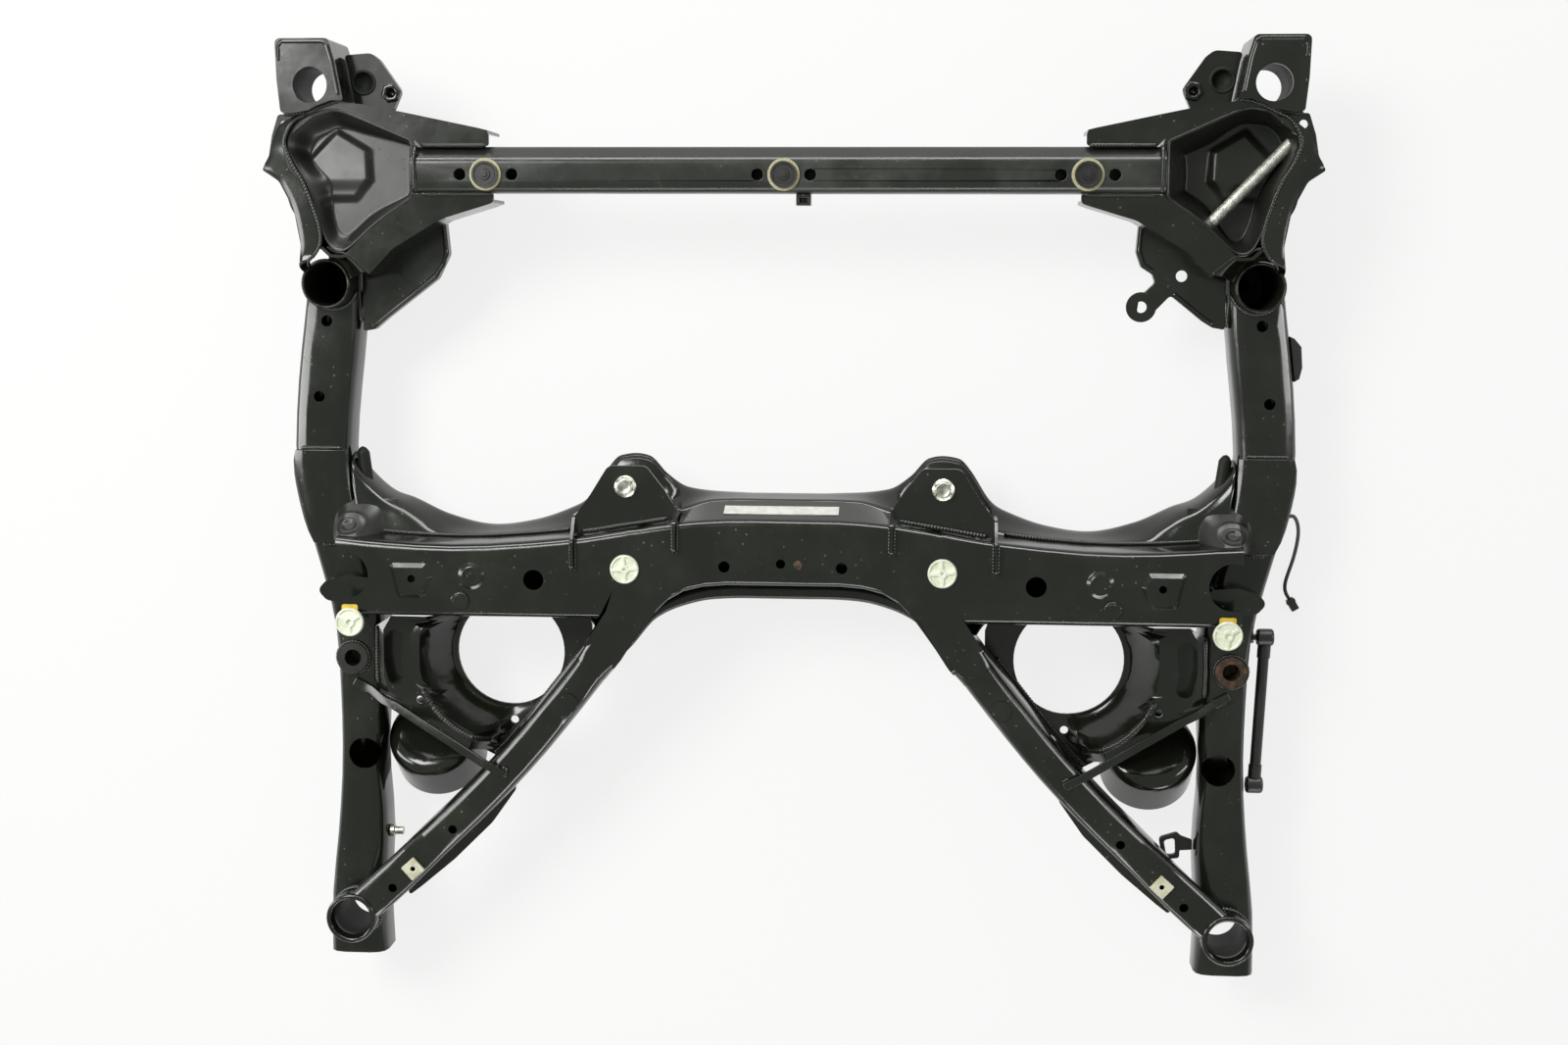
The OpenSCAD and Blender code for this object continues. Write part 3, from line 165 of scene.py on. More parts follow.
# Vulcanised rubber sheath: dull black with a faint bloom
def rubberSheath():
    material, tree, shader = newMaterial("vulcanisedRubberSheath")
    place = addNode(tree, "ShaderNodeTexCoord").outputs["Object"]
    bloom = addNode(tree, "ShaderNodeTexNoise", {"Scale": perMetre(6), "Detail": 4}, {"Vector": place})
    tone = ramp(tree, bloom.outputs["Fac"], [(0.35, "#0d0d0c"), (0.7, "#1d1d1a")])
    tree.links.new(tone, shader.inputs["Base Color"])
    shader.inputs["Roughness"].default_value = 0.55
    return material


rubber = rubberSheath()
makeCable(sensorCable, rubber)


# Studio: white floor, grey surround, two soft lamps overhead and four windows that only gloss shows
studio = {
    "floorHalf": 9,
    "floorColour": "#f2f2f0",
    "floorRoughness": 0.9,
    "floorGlow": 0.8,  # share of the floor that shows plain white to the camera and to gloss
    "surround": (0.44, 0.465, 0.425),
    "shadow": {  # floor in the sleeves' bolt holes, which no light reaches, in millimetres
        "places": [(-452, 227), (452, 227)], "radius": 9, "height": 0.4, "corners": 24, "colour": "#0c0c0b",
    },
    "lamps": [
        # name, place, aimed at, width, height, watts, lights matt surfaces too
        ("overheadSoftbox", (-1.4, 1.3, 2.4), (0, 0, 0), 1.2, 1.0, 60, True),
        ("roofPanel", (-1.05, 0.69, 2.4), (-0.9, 0.57, 0), 0.75, 0.4, 1.6, True),
        ("backWindow", (0.0, 2.4, 0.85), (0, 0.2, 0.1), 3.0, 0.7, 80, False),
        ("frontWindow", (0.4, -2.3, 0.9), (0, -0.2, 0.1), 2.6, 0.4, 34, False),
        ("leftWindow", (-2.3, 0.1, 0.9), (-0.2, 0, 0.1), 0.6, 2.4, 44, False),
        ("rightWindow", (2.3, 0.3, 0.8), (0.2, 0, 0.1), 0.4, 2.0, 22, False),
    ],
}


# Matt floor paint, in part plain white where the camera, gloss or glass looks at it
def floorPaint(spec):
    material, tree, shader = newMaterial("paleFloorPaint")
    shader.inputs["Base Color"].default_value = hexColour(spec["floorColour"])
    shader.inputs["Roughness"].default_value = spec["floorRoughness"]
    rays = addNode(tree, "ShaderNodeLightPath")
    seen = addNode(tree, "ShaderNodeMath", {"operation": "MAXIMUM"},
                   {0: rays.outputs["Is Camera Ray"], 1: rays.outputs["Is Glossy Ray"]})
    seen = addNode(tree, "ShaderNodeMath", {"operation": "MAXIMUM"},
                   {0: seen.outputs[0], 1: rays.outputs["Is Transmission Ray"]})
    share = addNode(tree, "ShaderNodeMath", {"operation": "MULTIPLY", 1: spec["floorGlow"]},
                    {0: seen.outputs[0]})
    glow = addNode(tree, "ShaderNodeEmission", {"Color": (1, 1, 1, 1), "Strength": 1})
    both = addNode(tree, "ShaderNodeMixShader",
                   links={0: share.outputs[0], 1: shader.outputs["BSDF"], 2: glow.outputs["Emission"]})
    output = next(node for node in tree.nodes if node.type == "OUTPUT_MATERIAL")
    tree.links.new(both.outputs["Shader"], output.inputs["Surface"])
    return material


# The floor's paint where no light falls
def shadedPaint(spec):
    material, tree, shader = newMaterial("shadedFloorPaint")
    shader.inputs["Base Color"].default_value = hexColour(spec["colour"])
    shader.inputs["Specular IOR Level"].default_value = 0
    return material


def addGround(name, outline, material):
    # one level face of the studio, its outline in metres
    mesh = bpy.data.meshes.new(name)
    mesh.from_pydata(outline, [], [list(range(len(outline)))])
    mesh.materials.append(material)
    ground = bpy.data.objects.new(name, mesh)
    bpy.context.scene.collection.objects.link(ground)


def addLamp(name, place, aim, width, height, watts, matt):
    data = bpy.data.lights.new(name, "AREA")
    data.shape = "RECTANGLE"
    data.size = width
    data.size_y = height
    data.energy = watts
    lamp = bpy.data.objects.new(name, data)
    lamp.location = place
    lamp.visible_diffuse = matt
    lamp.rotation_euler = (Vector(aim) - Vector(place)).to_track_quat("-Z", "Y").to_euler()
    bpy.context.scene.collection.objects.link(lamp)


def makeStudio(spec):
    half, shadow = spec["floorHalf"], spec["shadow"]
    square = [(-half, -half, 0), (half, -half, 0), (half, half, 0), (-half, half, 0)]
    addGround("studioFloor", square, floorPaint(spec))
    shade = shadedPaint(shadow)
    angle = np.linspace(0, 2 * np.pi, shadow["corners"], endpoint=False)
    disc = shadow["radius"] * np.stack([np.cos(angle), np.sin(angle), 0 * angle], -1)
    for x, y in shadow["places"]:
        addGround("sleeveShadow", ((disc + [x, y, shadow["height"]]) * mm).tolist(), shade)
    world = bpy.data.worlds.new("studioSurround")
    world.use_nodes = True
    world.node_tree.nodes["Background"].inputs["Color"].default_value = (*spec["surround"], 1)
    bpy.context.scene.world = world
    for lamp in spec["lamps"]:
        addLamp(*lamp)
    bpy.context.scene.view_settings.view_transform = "Standard"


makeStudio(studio)
print("studio ready")


# Cathodic dip coat on pressed steel: thin glossy black film, wavy over the drawn sheet, with a brown-green
# cast, and clouds of haze and dust specks on what faces up
def dipCoat(name, film="#181a13", haze="#30342a", roughness=0.1, waves=0.5, dust=1.0, ior=1.5):
    material, tree, shader = newMaterial(name)
    place = addNode(tree, "ShaderNodeTexCoord").outputs["Object"]
    cloud = addNode(tree, "ShaderNodeTexNoise", {"Scale": perMetre(70), "Detail": 6, "Roughness": 0.62},
                    {"Vector": place})
    fine = addNode(tree, "ShaderNodeTexNoise", {"Scale": perMetre(3.5), "Detail": 3}, {"Vector": place})
    speck = addNode(tree, "ShaderNodeTexVoronoi", {"Scale": perMetre(9), "Randomness": 1.0},
                    {"Vector": place})
    normal = addNode(tree, "ShaderNodeNewGeometry").outputs["Normal"]
    facing = addNode(tree, "ShaderNodeSeparateXYZ", links={"Vector": normal})
    up = addNode(tree, "ShaderNodeMapRange", {"From Min": 0.55, "From Max": 0.98, "To Max": dust},
                 {"Value": facing.outputs["Z"]})
    hazeShare = addNode(tree, "ShaderNodeMapRange", {"From Min": 0.46, "From Max": 0.75, "To Max": 0.5},
                        {"Value": cloud.outputs["Fac"]})
    hazeUp = addNode(tree, "ShaderNodeMath", {"operation": "MULTIPLY"},
                     {0: hazeShare.outputs[0], 1: up.outputs[0]})
    base = addNode(tree, "ShaderNodeMix", {"data_type": "RGBA", 6: hexColour(film), 7: hexColour(haze)},
                   {0: hazeUp.outputs[0]})
    grains = addNode(tree, "ShaderNodeMapRange",
                     {"From Min": 0.05, "From Max": 0.13, "To Min": 0.7, "To Max": 0.0},
                     {"Value": speck.outputs["Distance"]})
    grainSome = addNode(tree, "ShaderNodeMapRange", {"From Min": 0.44, "From Max": 0.6},
                        {"Value": cloud.outputs["Fac"]})
    grainShare = addNode(tree, "ShaderNodeMath", {"operation": "MULTIPLY"},
                         {0: grains.outputs[0], 1: grainSome.outputs[0]})
    grainUp = addNode(tree, "ShaderNodeMath", {"operation": "MULTIPLY"},
                      {0: grainShare.outputs[0], 1: up.outputs[0]})
    dusty = addNode(tree, "ShaderNodeMix", {"data_type": "RGBA", 7: hexColour("#7d7260")},
                    {0: grainUp.outputs[0], 6: base.outputs[2]})
    tree.links.new(dusty.outputs[2], shader.inputs["Base Color"])
    gloss = addNode(tree, "ShaderNodeMapRange",
                    {"From Min": 0.35, "From Max": 0.75, "To Min": roughness, "To Max": roughness + 0.16},
                    {"Value": cloud.outputs["Fac"]})
    rough = addNode(tree, "ShaderNodeMath", {"operation": "ADD", "use_clamp": True},
                    {0: gloss.outputs[0], 1: grainUp.outputs[0]})
    tree.links.new(rough.outputs[0], shader.inputs["Roughness"])
    swell = addNode(tree, "ShaderNodeTexNoise", {"Scale": perMetre(28), "Detail": 2}, {"Vector": place})
    wavy = addNode(tree, "ShaderNodeBump", {"Strength": waves, "Distance": 0.6 * mm},
                   {"Height": swell.outputs["Fac"]})
    peel = addNode(tree, "ShaderNodeBump", {"Strength": 0.12, "Distance": 0.06 * mm},
                   {"Height": fine.outputs["Fac"], "Normal": wavy.outputs["Normal"]})
    tree.links.new(peel.outputs["Normal"], shader.inputs["Normal"])
    shader.inputs["IOR"].default_value = ior
    return material


# Zinc plate on steel: pale grey with soft brushed clouds
def zincPlate(name, light="#c9cabf", dark="#8b8b80", roughness=0.32):
    material, tree, shader = newMaterial(name)
    place = addNode(tree, "ShaderNodeTexCoord").outputs["Object"]
    cloud = addNode(tree, "ShaderNodeTexNoise", {"Scale": perMetre(5), "Detail": 5}, {"Vector": place})
    tone = ramp(tree, cloud.outputs["Fac"], [(0.35, dark), (0.65, light)])
    tree.links.new(tone, shader.inputs["Base Color"])
    shader.inputs["Metallic"].default_value = 1.0
    rough = addNode(tree, "ShaderNodeMapRange", {"To Min": roughness - 0.08, "To Max": roughness + 0.14},
                    {"Value": cloud.outputs["Fac"]})
    tree.links.new(rough.outputs[0], shader.inputs["Roughness"])
    return material


# Bare steel gone brown: dark scale with rust blooms
def rustedSteel():
    material, tree, shader = newMaterial("rustedBareSteel")
    place = addNode(tree, "ShaderNodeTexCoord").outputs["Object"]
    bloom = addNode(tree, "ShaderNodeTexNoise", {"Scale": perMetre(7), "Detail": 8, "Roughness": 0.65},
                    {"Vector": place})
    tone = ramp(tree, bloom.outputs["Fac"], [(0.32, "#17130f"), (0.5, "#3a2c20"), (0.66, "#6e4d33")])
    tree.links.new(tone, shader.inputs["Base Color"])
    shader.inputs["Metallic"].default_value = 0.35
    shader.inputs["Roughness"].default_value = 0.55
    pits = addNode(tree, "ShaderNodeBump", {"Strength": 0.5, "Distance": 0.2 * mm},
                   {"Height": bloom.outputs["Fac"]})
    tree.links.new(pits.outputs["Normal"], shader.inputs["Normal"])
    return material


# Moulded plastic: even colour, satin skin with a fine spark-eroded grain
def mouldedPlastic(name, colour, shade, roughness=0.42, grainMm=0.9):
    material, tree, shader = newMaterial(name)
    place = addNode(tree, "ShaderNodeTexCoord").outputs["Object"]
    cloud = addNode(tree, "ShaderNodeTexNoise", {"Scale": perMetre(11), "Detail": 5}, {"Vector": place})
    tone = ramp(tree, cloud.outputs["Fac"], [(0.36, shade), (0.62, colour)])
    tree.links.new(tone, shader.inputs["Base Color"])
    grain = addNode(tree, "ShaderNodeTexNoise", {"Scale": perMetre(grainMm), "Detail": 2}, {"Vector": place})
    skin = addNode(tree, "ShaderNodeBump", {"Strength": 0.15, "Distance": 0.05 * mm},
                   {"Height": grain.outputs["Fac"]})
    tree.links.new(skin.outputs["Normal"], shader.inputs["Normal"])
    shader.inputs["Roughness"].default_value = roughness
    shader.inputs["IOR"].default_value = 1.53
    return material


# Closed-cell foam: cream, matt, with open pores a millimetre across
def creamFoam():
    material, tree, shader = newMaterial("closedCellFoam")
    place = addNode(tree, "ShaderNodeTexCoord").outputs["Object"]
    pores = addNode(tree, "ShaderNodeTexVoronoi", {"Scale": perMetre(1.1)}, {"Vector": place})
    tone = ramp(tree, pores.outputs["Distance"], [(0.1, "#d9d3b4"), (0.6, "#b4ac86")])
    tree.links.new(tone, shader.inputs["Base Color"])
    dents = addNode(tree, "ShaderNodeBump", {"Strength": 0.4, "Distance": 0.2 * mm},
                    {"Height": pores.outputs["Distance"]})
    tree.links.new(dents.outputs["Normal"], shader.inputs["Normal"])
    shader.inputs["Roughness"].default_value = 0.85
    return material


coat = dipCoat("cathodicDipCoat")
coatDull = dipCoat("cathodicDipCoatDull", haze="#3a3a32", roughness=0.3, waves=0.35)
finishes = {
    "black_coat": coat,
    "zinc_steel": zincPlate("zincPlatedSteel"),
    "dark_steel": zincPlate("oiledSteel", "#4a4a45", "#262624", 0.36),
    "rusty_steel": rustedSteel(),
    "black_plastic": mouldedPlastic("blackPolyamide", "#1b1b1a", "#111110"),
    "grey_plastic": mouldedPlastic("greyPolypropylene", "#f8fbea", "#e0e6cd", 0.38),
    "yellow_plastic": mouldedPlastic("yellowPolypropylene", "#ecc83c", "#cfa528", 0.45),
    "cream_plastic": mouldedPlastic("creamPolyamide", "#e2dfc8", "#c6c2a3", 0.45),
    "cream_foam": creamFoam(),
    "white_label": mouldedPlastic("whitePolyesterFilm", "#f3f3ee", "#dcdcd4", 0.35, 3),
    "black_rubber": rubber,
}

# CAD pieces keep their shape: their triangles are welded, their sharp edges softened and shaded
edges = {"weldDistance": 0.004 * mm, "bevel": 0.7 * mm, "segments": 2, "angle": math.radians(38)}


def dressNode(name, spec):
    node = nodes[name]
    node.data.polygons.foreach_set("use_smooth", np.ones(len(node.data.polygons), bool))
    weld = node.modifiers.new("weldSeams", "WELD")
    weld.merge_threshold = spec["weldDistance"]
    bevel = node.modifiers.new("softEdges", "BEVEL")
    bevel.width = spec["bevel"]
    bevel.segments = spec["segments"]
    bevel.limit_method = "ANGLE"
    bevel.angle_limit = spec["angle"]
    bevel.use_clamp_overlap = True
    node.modifiers.new("evenShading", "WEIGHTED_NORMAL").keep_sharp = True


slotOf = {part["node"]: part["material_slot"] for part in frame["record"]["subparts"]}
for name, node in nodes.items():
    node.data.materials.clear()
    node.data.materials.append(finishes[slotOf[name]])
    dressNode(name, edges)
print("CAD pieces dressed")


def gridFaces(rows, columns, wrapRows=False, wrapColumns=False):
    # each face joins a grid point with its next neighbours along the row and the column
    i, j = np.meshgrid(np.arange(rows if wrapRows else rows - 1),
                       np.arange(columns if wrapColumns else columns - 1), indexing="ij")
    nextI, nextJ = (i + 1) % rows, (j + 1) % columns
    return np.stack([i * columns + j, nextI * columns + j, nextI * columns + nextJ, i * columns + nextJ],
                    -1).reshape(-1, 4)


def addPiece(name, grids, material, replaced=()):
    # grids: list of (points in millimetres, faces); they become one mesh in metres
    offset, allPoints, allFaces = 0, [], []
    for points, faces in grids:
        allPoints.append(points.reshape(-1, 3))
        allFaces.append(faces + offset)
        offset += allPoints[-1].shape[0]
    points = np.vstack(allPoints) * mm
    faces = np.vstack(allFaces)
    mesh = bpy.data.meshes.new(name)
    mesh.from_pydata(points.tolist(), [], faces.tolist())
    mesh.polygons.foreach_set("use_smooth", np.ones(len(faces), bool))
    mesh.materials.append(material)
    mesh.validate()
    mesh.update()
    piece = bpy.data.objects.new(name, mesh)
    bpy.context.scene.collection.objects.link(piece)
    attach(piece, "frame")
    if replaced:
        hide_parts(*replaced)
    return piece


def evenSpacing(path, step, closed):
    # points every step along a path of straight runs
    p = np.asarray(path, float)
    if closed:
        p = np.vstack([p, p[:1]])
    runs = np.linalg.norm(np.diff(p, axis=0), axis=1)
    along = np.concatenate([[0], np.cumsum(runs)])
    count = max(4, int(along[-1] / step))
    at = np.linspace(0, along[-1], count + 1)
    if closed:
        at = at[:-1]
    return np.stack([np.interp(at, along, p[:, k]) for k in range(3)], -1), at


def pathFrames(p, closed):
    # along, across and up directions at each point; up stays as near to +Z as the path lets it
    if closed:
        along = np.roll(p, -1, axis=0) - np.roll(p, 1, axis=0)
    else:
        along = np.gradient(p, axis=0)
    along /= np.linalg.norm(along, axis=1)[:, None]
    steep = np.abs(along[:, 2:]) > 0.93
    lift = np.where(steep, [[1.0, 0, 0]], [[0, 0, 1.0]])
    across = np.cross(lift, along)
    across /= np.linalg.norm(across, axis=1)[:, None]
    return along, across, np.cross(along, across)


# Weld beads: ripples like fish scales on a bead of uneven width
weldBead = {
    "pitch": 3.2,  # millimetres from ripple to ripple
    "perPitch": 4,
    "sides": 8,
    "width": (0.86, 1.14, 9),  # least and most share of the radius, taken at so many places
    "closedWidth": (0.06, 5),  # share and number of the waves round a closed bead
    "ripple": 0.16,
    "lean": 1.3,
    "end": (1.2, 0.02),  # length of a rounded end in radii, and its least size
}
beadRandom = np.random.default_rng(7)


def beadGrid(path, radius, closed=False):
    # a tube whose radius swells once every pitch, shifted with the angle so that the ripples lean
    pitch, sides = weldBead["pitch"], weldBead["sides"]
    p, at = evenSpacing(path, pitch / weldBead["perPitch"], closed)
    along, across, up = pathFrames(p, closed)
    least, most, places = weldBead["width"]
    slow = np.interp(at, np.linspace(0, at[-1], places), beadRandom.uniform(least, most, places))
    if closed:
        share, waves = weldBead["closedWidth"]
        slow = 1 + share * np.sin(2 * np.pi * waves * np.arange(len(p)) / len(p))
    angle = np.linspace(0, 2 * np.pi, sides, endpoint=False)
    ripple = np.sin(2 * np.pi * at[:, None] / pitch + weldBead["lean"] * np.sin(angle)[None, :])
    size = radius * slow[:, None] * (1 + weldBead["ripple"] * ripple)
    if not closed:
        length, smallest = weldBead["end"]
        ends = np.clip(np.minimum(at, at[-1] - at) / (length * radius), smallest, 1)
        size *= np.sqrt(ends)[:, None]
    ring = np.cos(angle)[None, :, None] * across[:, None, :] + np.sin(angle)[None, :, None] * up[:, None, :]
    points = p[:, None, :] + size[:, :, None] * ring
    return points, gridFaces(len(p), sides, closed, True)


def mirrored(points):
    # the left half is the right one with X turned round
    return np.asarray(points, float) * [-1, 1, 1]


def beadPair(path, radius, closed=False):
    # a bead on the right half and its mirror
    return [beadGrid(path, radius, closed), beadGrid(mirrored(path), radius, closed)]


def bothSides(right, left=None):
    # (points, faces) of a right piece and of its mirror, whose faces turn the other way
    points, faces = left or right
    return [right, (mirrored(points), faces[:, ::-1])]


def atBothPlaces(surface, place):
    # the same piece, not mirrored, at a place on the left and on the right
    points, faces = surface
    x, y, z = place
    return [(points + [side * x, y, z], faces) for side in (-1, 1)]


def circlePath(x, y, z, radius, start=0, end=360, count=48):
    # points on a level circle, in degrees from +X
    a = np.radians(np.linspace(start, end, count))
    return np.stack([x + radius * np.cos(a), y + radius * np.sin(a), np.full(count, float(z))], -1)


cadTrees = {}


def dropOn(names, x, y, above=300):
    # height of the first surface of these CAD pieces under (x, y), in millimetres, or None
    best = None
    for name in names:
        if name not in cadTrees:
            source = nodes[name].data
            cadTrees[name] = BVHTree.FromPolygons([v.co for v in source.vertices],
                                                  [tuple(f.vertices) for f in source.polygons])
        hit = cadTrees[name].ray_cast(Vector((x, y, above)) * mm, Vector((0, 0, -1)))[0]
        if hit is not None and (best is None or hit.z / mm > best):
            best = hit.z / mm
    return best


def seatedPath(plan, names, step=3.0):
    # a line drawn in plan, (x, y) in millimetres, laid on top of these CAD pieces
    flat, at = evenSpacing([(x, y, 0) for x, y in plan], step, False)
    seat = [(x, y, dropOn(names, x, y)) for x, y, z in flat]
    return np.array([place for place in seat if place[2] is not None])


# Seams on the right half, each with its mirror: plan lines laid on the named pieces, or paths in space
weldSeams = {
    "onPieces": [
        # plan line, pieces it lies on, radius
        ([(400, -208), (350, -238), (331, -249)], ["gusset_right"], 2.2),
        ([(412, -112), (413.5, -150), (412.5, -190)], ["gusset_right"], 2.4),
        ([(209, -141), (247, -189), (287, -237), (318, -267)], ["gusset_right", "leg_right"], 2.4),
        ([(433, -33.5), (448, -33.5), (468, -33.5)], ["rail_right"], 2.2),
        ([(446, 63.5), (466, 63.5), (488, 63.5)], ["rail_right"], 2.2),
        ([(411, -89), (440, -92), (460, -88.5), (469.5, -77)], ["rail_right"], 2.2),
    ],
    "inSpace": [
        # path, radius, closed
        ([(285, 358.6, 145.4), (349, 358.6, 145.4)], 2.4, False),
        ([(281, 313.4, 145.4), (349, 313.4, 145.4)], 2.4, False),
        (circlePath(440, -413.5, 100.4, 24.3)[:-1], 2.6, True),
        (circlePath(438.5, -148.5, 100.6, 16.4)[:-1], 1.8, True),
        (circlePath(452, 227, 99.6, 25.2, 195, 345), 2.6, False),
        ([(425.3, 188, 91), (427.2, 214, 91), (427, 240, 91), (425, 247, 91)], 2.3, False),
    ],
}


def makeWelds(spec, material):
    grids = []
    for plan, names, radius in spec["onPieces"]:
        path = seatedPath(plan, names)
        if len(path) > 3:
            grids += beadPair(path, radius)
    for path, radius, closed in spec["inSpace"]:
        grids += beadPair(path, radius, closed)
    addPiece("weldBeads", grids, material)
    print("weld beads:", len(grids))


coatedWeld = dipCoat("cathodicDipCoatOnWeld", roughness=0.16, waves=0.3, dust=0.5)
makeWelds(weldSeams, coatedWeld)


def knotCurve(knots, u):
    # cubic through knots (place, value); the slope at each is the chord between its neighbours
    k = np.array(knots, float)
    x, v = k[:, 0], k[:, 1]
    low, high = np.maximum(np.arange(len(x)) - 1, 0), np.minimum(np.arange(len(x)) + 1, len(x) - 1)
    slope = (v[high] - v[low]) / (x[high] - x[low])
    i = np.clip(np.searchsorted(x, u) - 1, 0, len(x) - 2)
    h = x[i + 1] - x[i]
    t = np.clip((u - x[i]) / h, 0, 1)
    return (v[i] * (2 * t ** 3 - 3 * t ** 2 + 1) + slope[i] * h * (t ** 3 - 2 * t ** 2 + t)
            + v[i + 1] * (3 * t ** 2 - 2 * t ** 3) + slope[i + 1] * h * (t ** 3 - t ** 2))


def ease(t):
    # 3 t^2 - 2 t^3 between 0 and 1
    c = np.clip(t, 0, 1)
    return c * c * (3 - 2 * c)


def blend(a, b, t):
    # a where t is 0, b where t is 1
    return a + (b - a) * t


def stepped(levels, x):
    # eases from one level to another: levels is (first, last, where it starts, over what length)
    first, last, start, over = levels
    return blend(first, last, ease((x - start) / over))


def cutCorners(rows, times):
    # Chaikin: each corner of a profile gives way to points a quarter along its two sides; ends stay
    for _ in range(times):
        a, b = rows[:, :-1], rows[:, 1:]
        pairs = np.stack([0.75 * a + 0.25 * b, 0.25 * a + 0.75 * b], 2).reshape(len(rows), -1, 3)
        rows = np.concatenate([rows[:, :1], pairs[:, 1:-1], rows[:, -1:]], 1)
    return rows


# Crossmember tray, the far shell of the crossmember: the CAD formulas on finer stations, in millimetres
tray = {
    "from": 25,
    "half": 440,
    "stations": 150,
    "lap": 103.7,
    "floor": 57,
    "sheet": 3,
    "rearEdge": 106,  # height of the rear wall's top
    "bend": [(0, 0), (54, 0), (104, -4), (151, -11), (200, -19), (294, -27.5), (360, -27.5), (440, -22)],
    "rear": [(0, -62.5), (55, -62.5), (90, -67), (128, -83), (150, -108), (168, -131), (176, -130),
             (196, -98), (206, -97), (300, -97), (440, -97)],
    "front": [(0, 22), (44, 22), (101, 27), (122, 40), (140, 58), (170, 58), (182, 46), (202, 16), (222, 4),
              (258, -8), (302, -13), (346, -3), (383, 13), (405, 21), (424, 38), (440, 60)],
    "railMiddle": [(-330, 436), (-255, 435), (-170, 433), (-110, 435), (-50, 448), (0, 461), (50, 468),
                   (100, 466)],
    "railHalf": [(-330, 26.5), (-255, 21.5), (-170, 24), (-110, 26), (-50, 27), (0, 27.5), (50, 28.5),
                 (100, 29)],
    # changes along X: first and last level, where it starts, over what length
    "run": (16, 5, 70, 50),  # front edge before the cover's bend
    "lip": (14, 1.5, 150, 30),
    "shelf": (0, 1, 330, 70),
    "wide": (0, 1, 25, 20),  # over the distance from the front edge to the front wall's foot instead
    "drawnFrom": 340,  # from here the ends are drawn in to the side members
}


def coverBend(x):
    return knotCurve(tray["bend"], x)


def trayFront(x):
    return coverBend(x) + stepped(tray["run"], x)


def trayRows(spec, inward):
    # a section for each X: front edge, front wall, floor, rear wall and lip, with its corners cut round
    x = np.linspace(spec["from"], spec["half"], spec["stations"])
    lip = stepped(spec["lip"], x)
    b = trayFront(x)  # front edge
    e = knotCurve(spec["front"], x) - inward  # foot of the front wall
    r = knotCurve(spec["rear"], x) - 2 + inward  # rear wall
    top, floor = spec["lap"], spec["floor"]
    low = floor + inward
    shelf = stepped(spec["shelf"], x)
    wide = stepped(spec["wide"], e - b)
    midY = blend(blend(blend(b, e, 0.35), b + 9, wide), e - 9, shelf)
    midZ = blend(blend(86, floor + 21, wide), top - 3, shelf)
    lipZ = spec["rearEdge"] - spec["sheet"] + inward
    profile = [
        (b - inward, top), (midY - inward * 0.6, midZ - inward * shelf * 0.8), (e - 1, low + 10),
        (e - 3.5, low + 3.5), (e - 10, low), (blend(e - 10, r + 8, 0.35), low),
        (blend(e - 10, r + 8, 0.7), low), (r + 8, low), (r + 2.5, low + 2.5), (r, low + 8),
        (r - 1, blend(low, 100, 0.6)), (r - 2, lipZ), (r - 3 - lip, lipZ + 3),
    ]
    y = np.stack([np.broadcast_to(p[0], x.shape) for p in profile], 1)
    z = np.stack([np.broadcast_to(np.asarray(p[1], float), x.shape) for p in profile], 1)
    railInner = knotCurve(spec["railMiddle"], y) - knotCurve(spec["railHalf"], y)
    start = spec["drawnFrom"]
    drawnIn = ease((x - start) / (spec["half"] - start))[:, None] * (spec["half"] - railInner + 1)
    half = cutCorners(np.stack([x[:, None] - drawnIn, y, z], -1), 2)
    return np.concatenate([mirrored(half)[::-1], half])


def makeTray(spec, material):
    # outer rows and inner rows back make a closed ring at each X, with a cap at either end
    ring = np.concatenate([trayRows(spec, 0), trayRows(spec, spec["sheet"])[:, ::-1]], 1)
    rows, columns = ring.shape[:2]
    caps = gridFaces(2, columns // 2)
    caps[:, 1], caps[:, 2] = columns - 1 - caps[:, 0], columns - 1 - caps[:, 3]
    skin = gridFaces(rows, columns, False, True)[:, ::-1]
    faces = np.vstack([skin, caps, (rows - 1) * columns + caps[:, ::-1]])
    addPiece("crossmemberTray", [(ring, faces)], material, replaced=["crossmember_tray"])
    print("tray rows", rows, columns)


makeTray(tray, coat)


# Strut bolt: threaded rod across the right pocket, in millimetres
strutRod = {
    "from": (387, 270, 112),
    "to": (480, 366, 112),
    "crest": 5.98,
    "root": 5.15,
    "pitch": 1.75,
    "plainUntil": 16,  # shank without thread at the nut's end
    "runOut": 3,  # length over which the thread starts
    "chamfer": 0.3,  # the ends lie this much under the root
    "around": 24,
    "perPitch": 6,
}


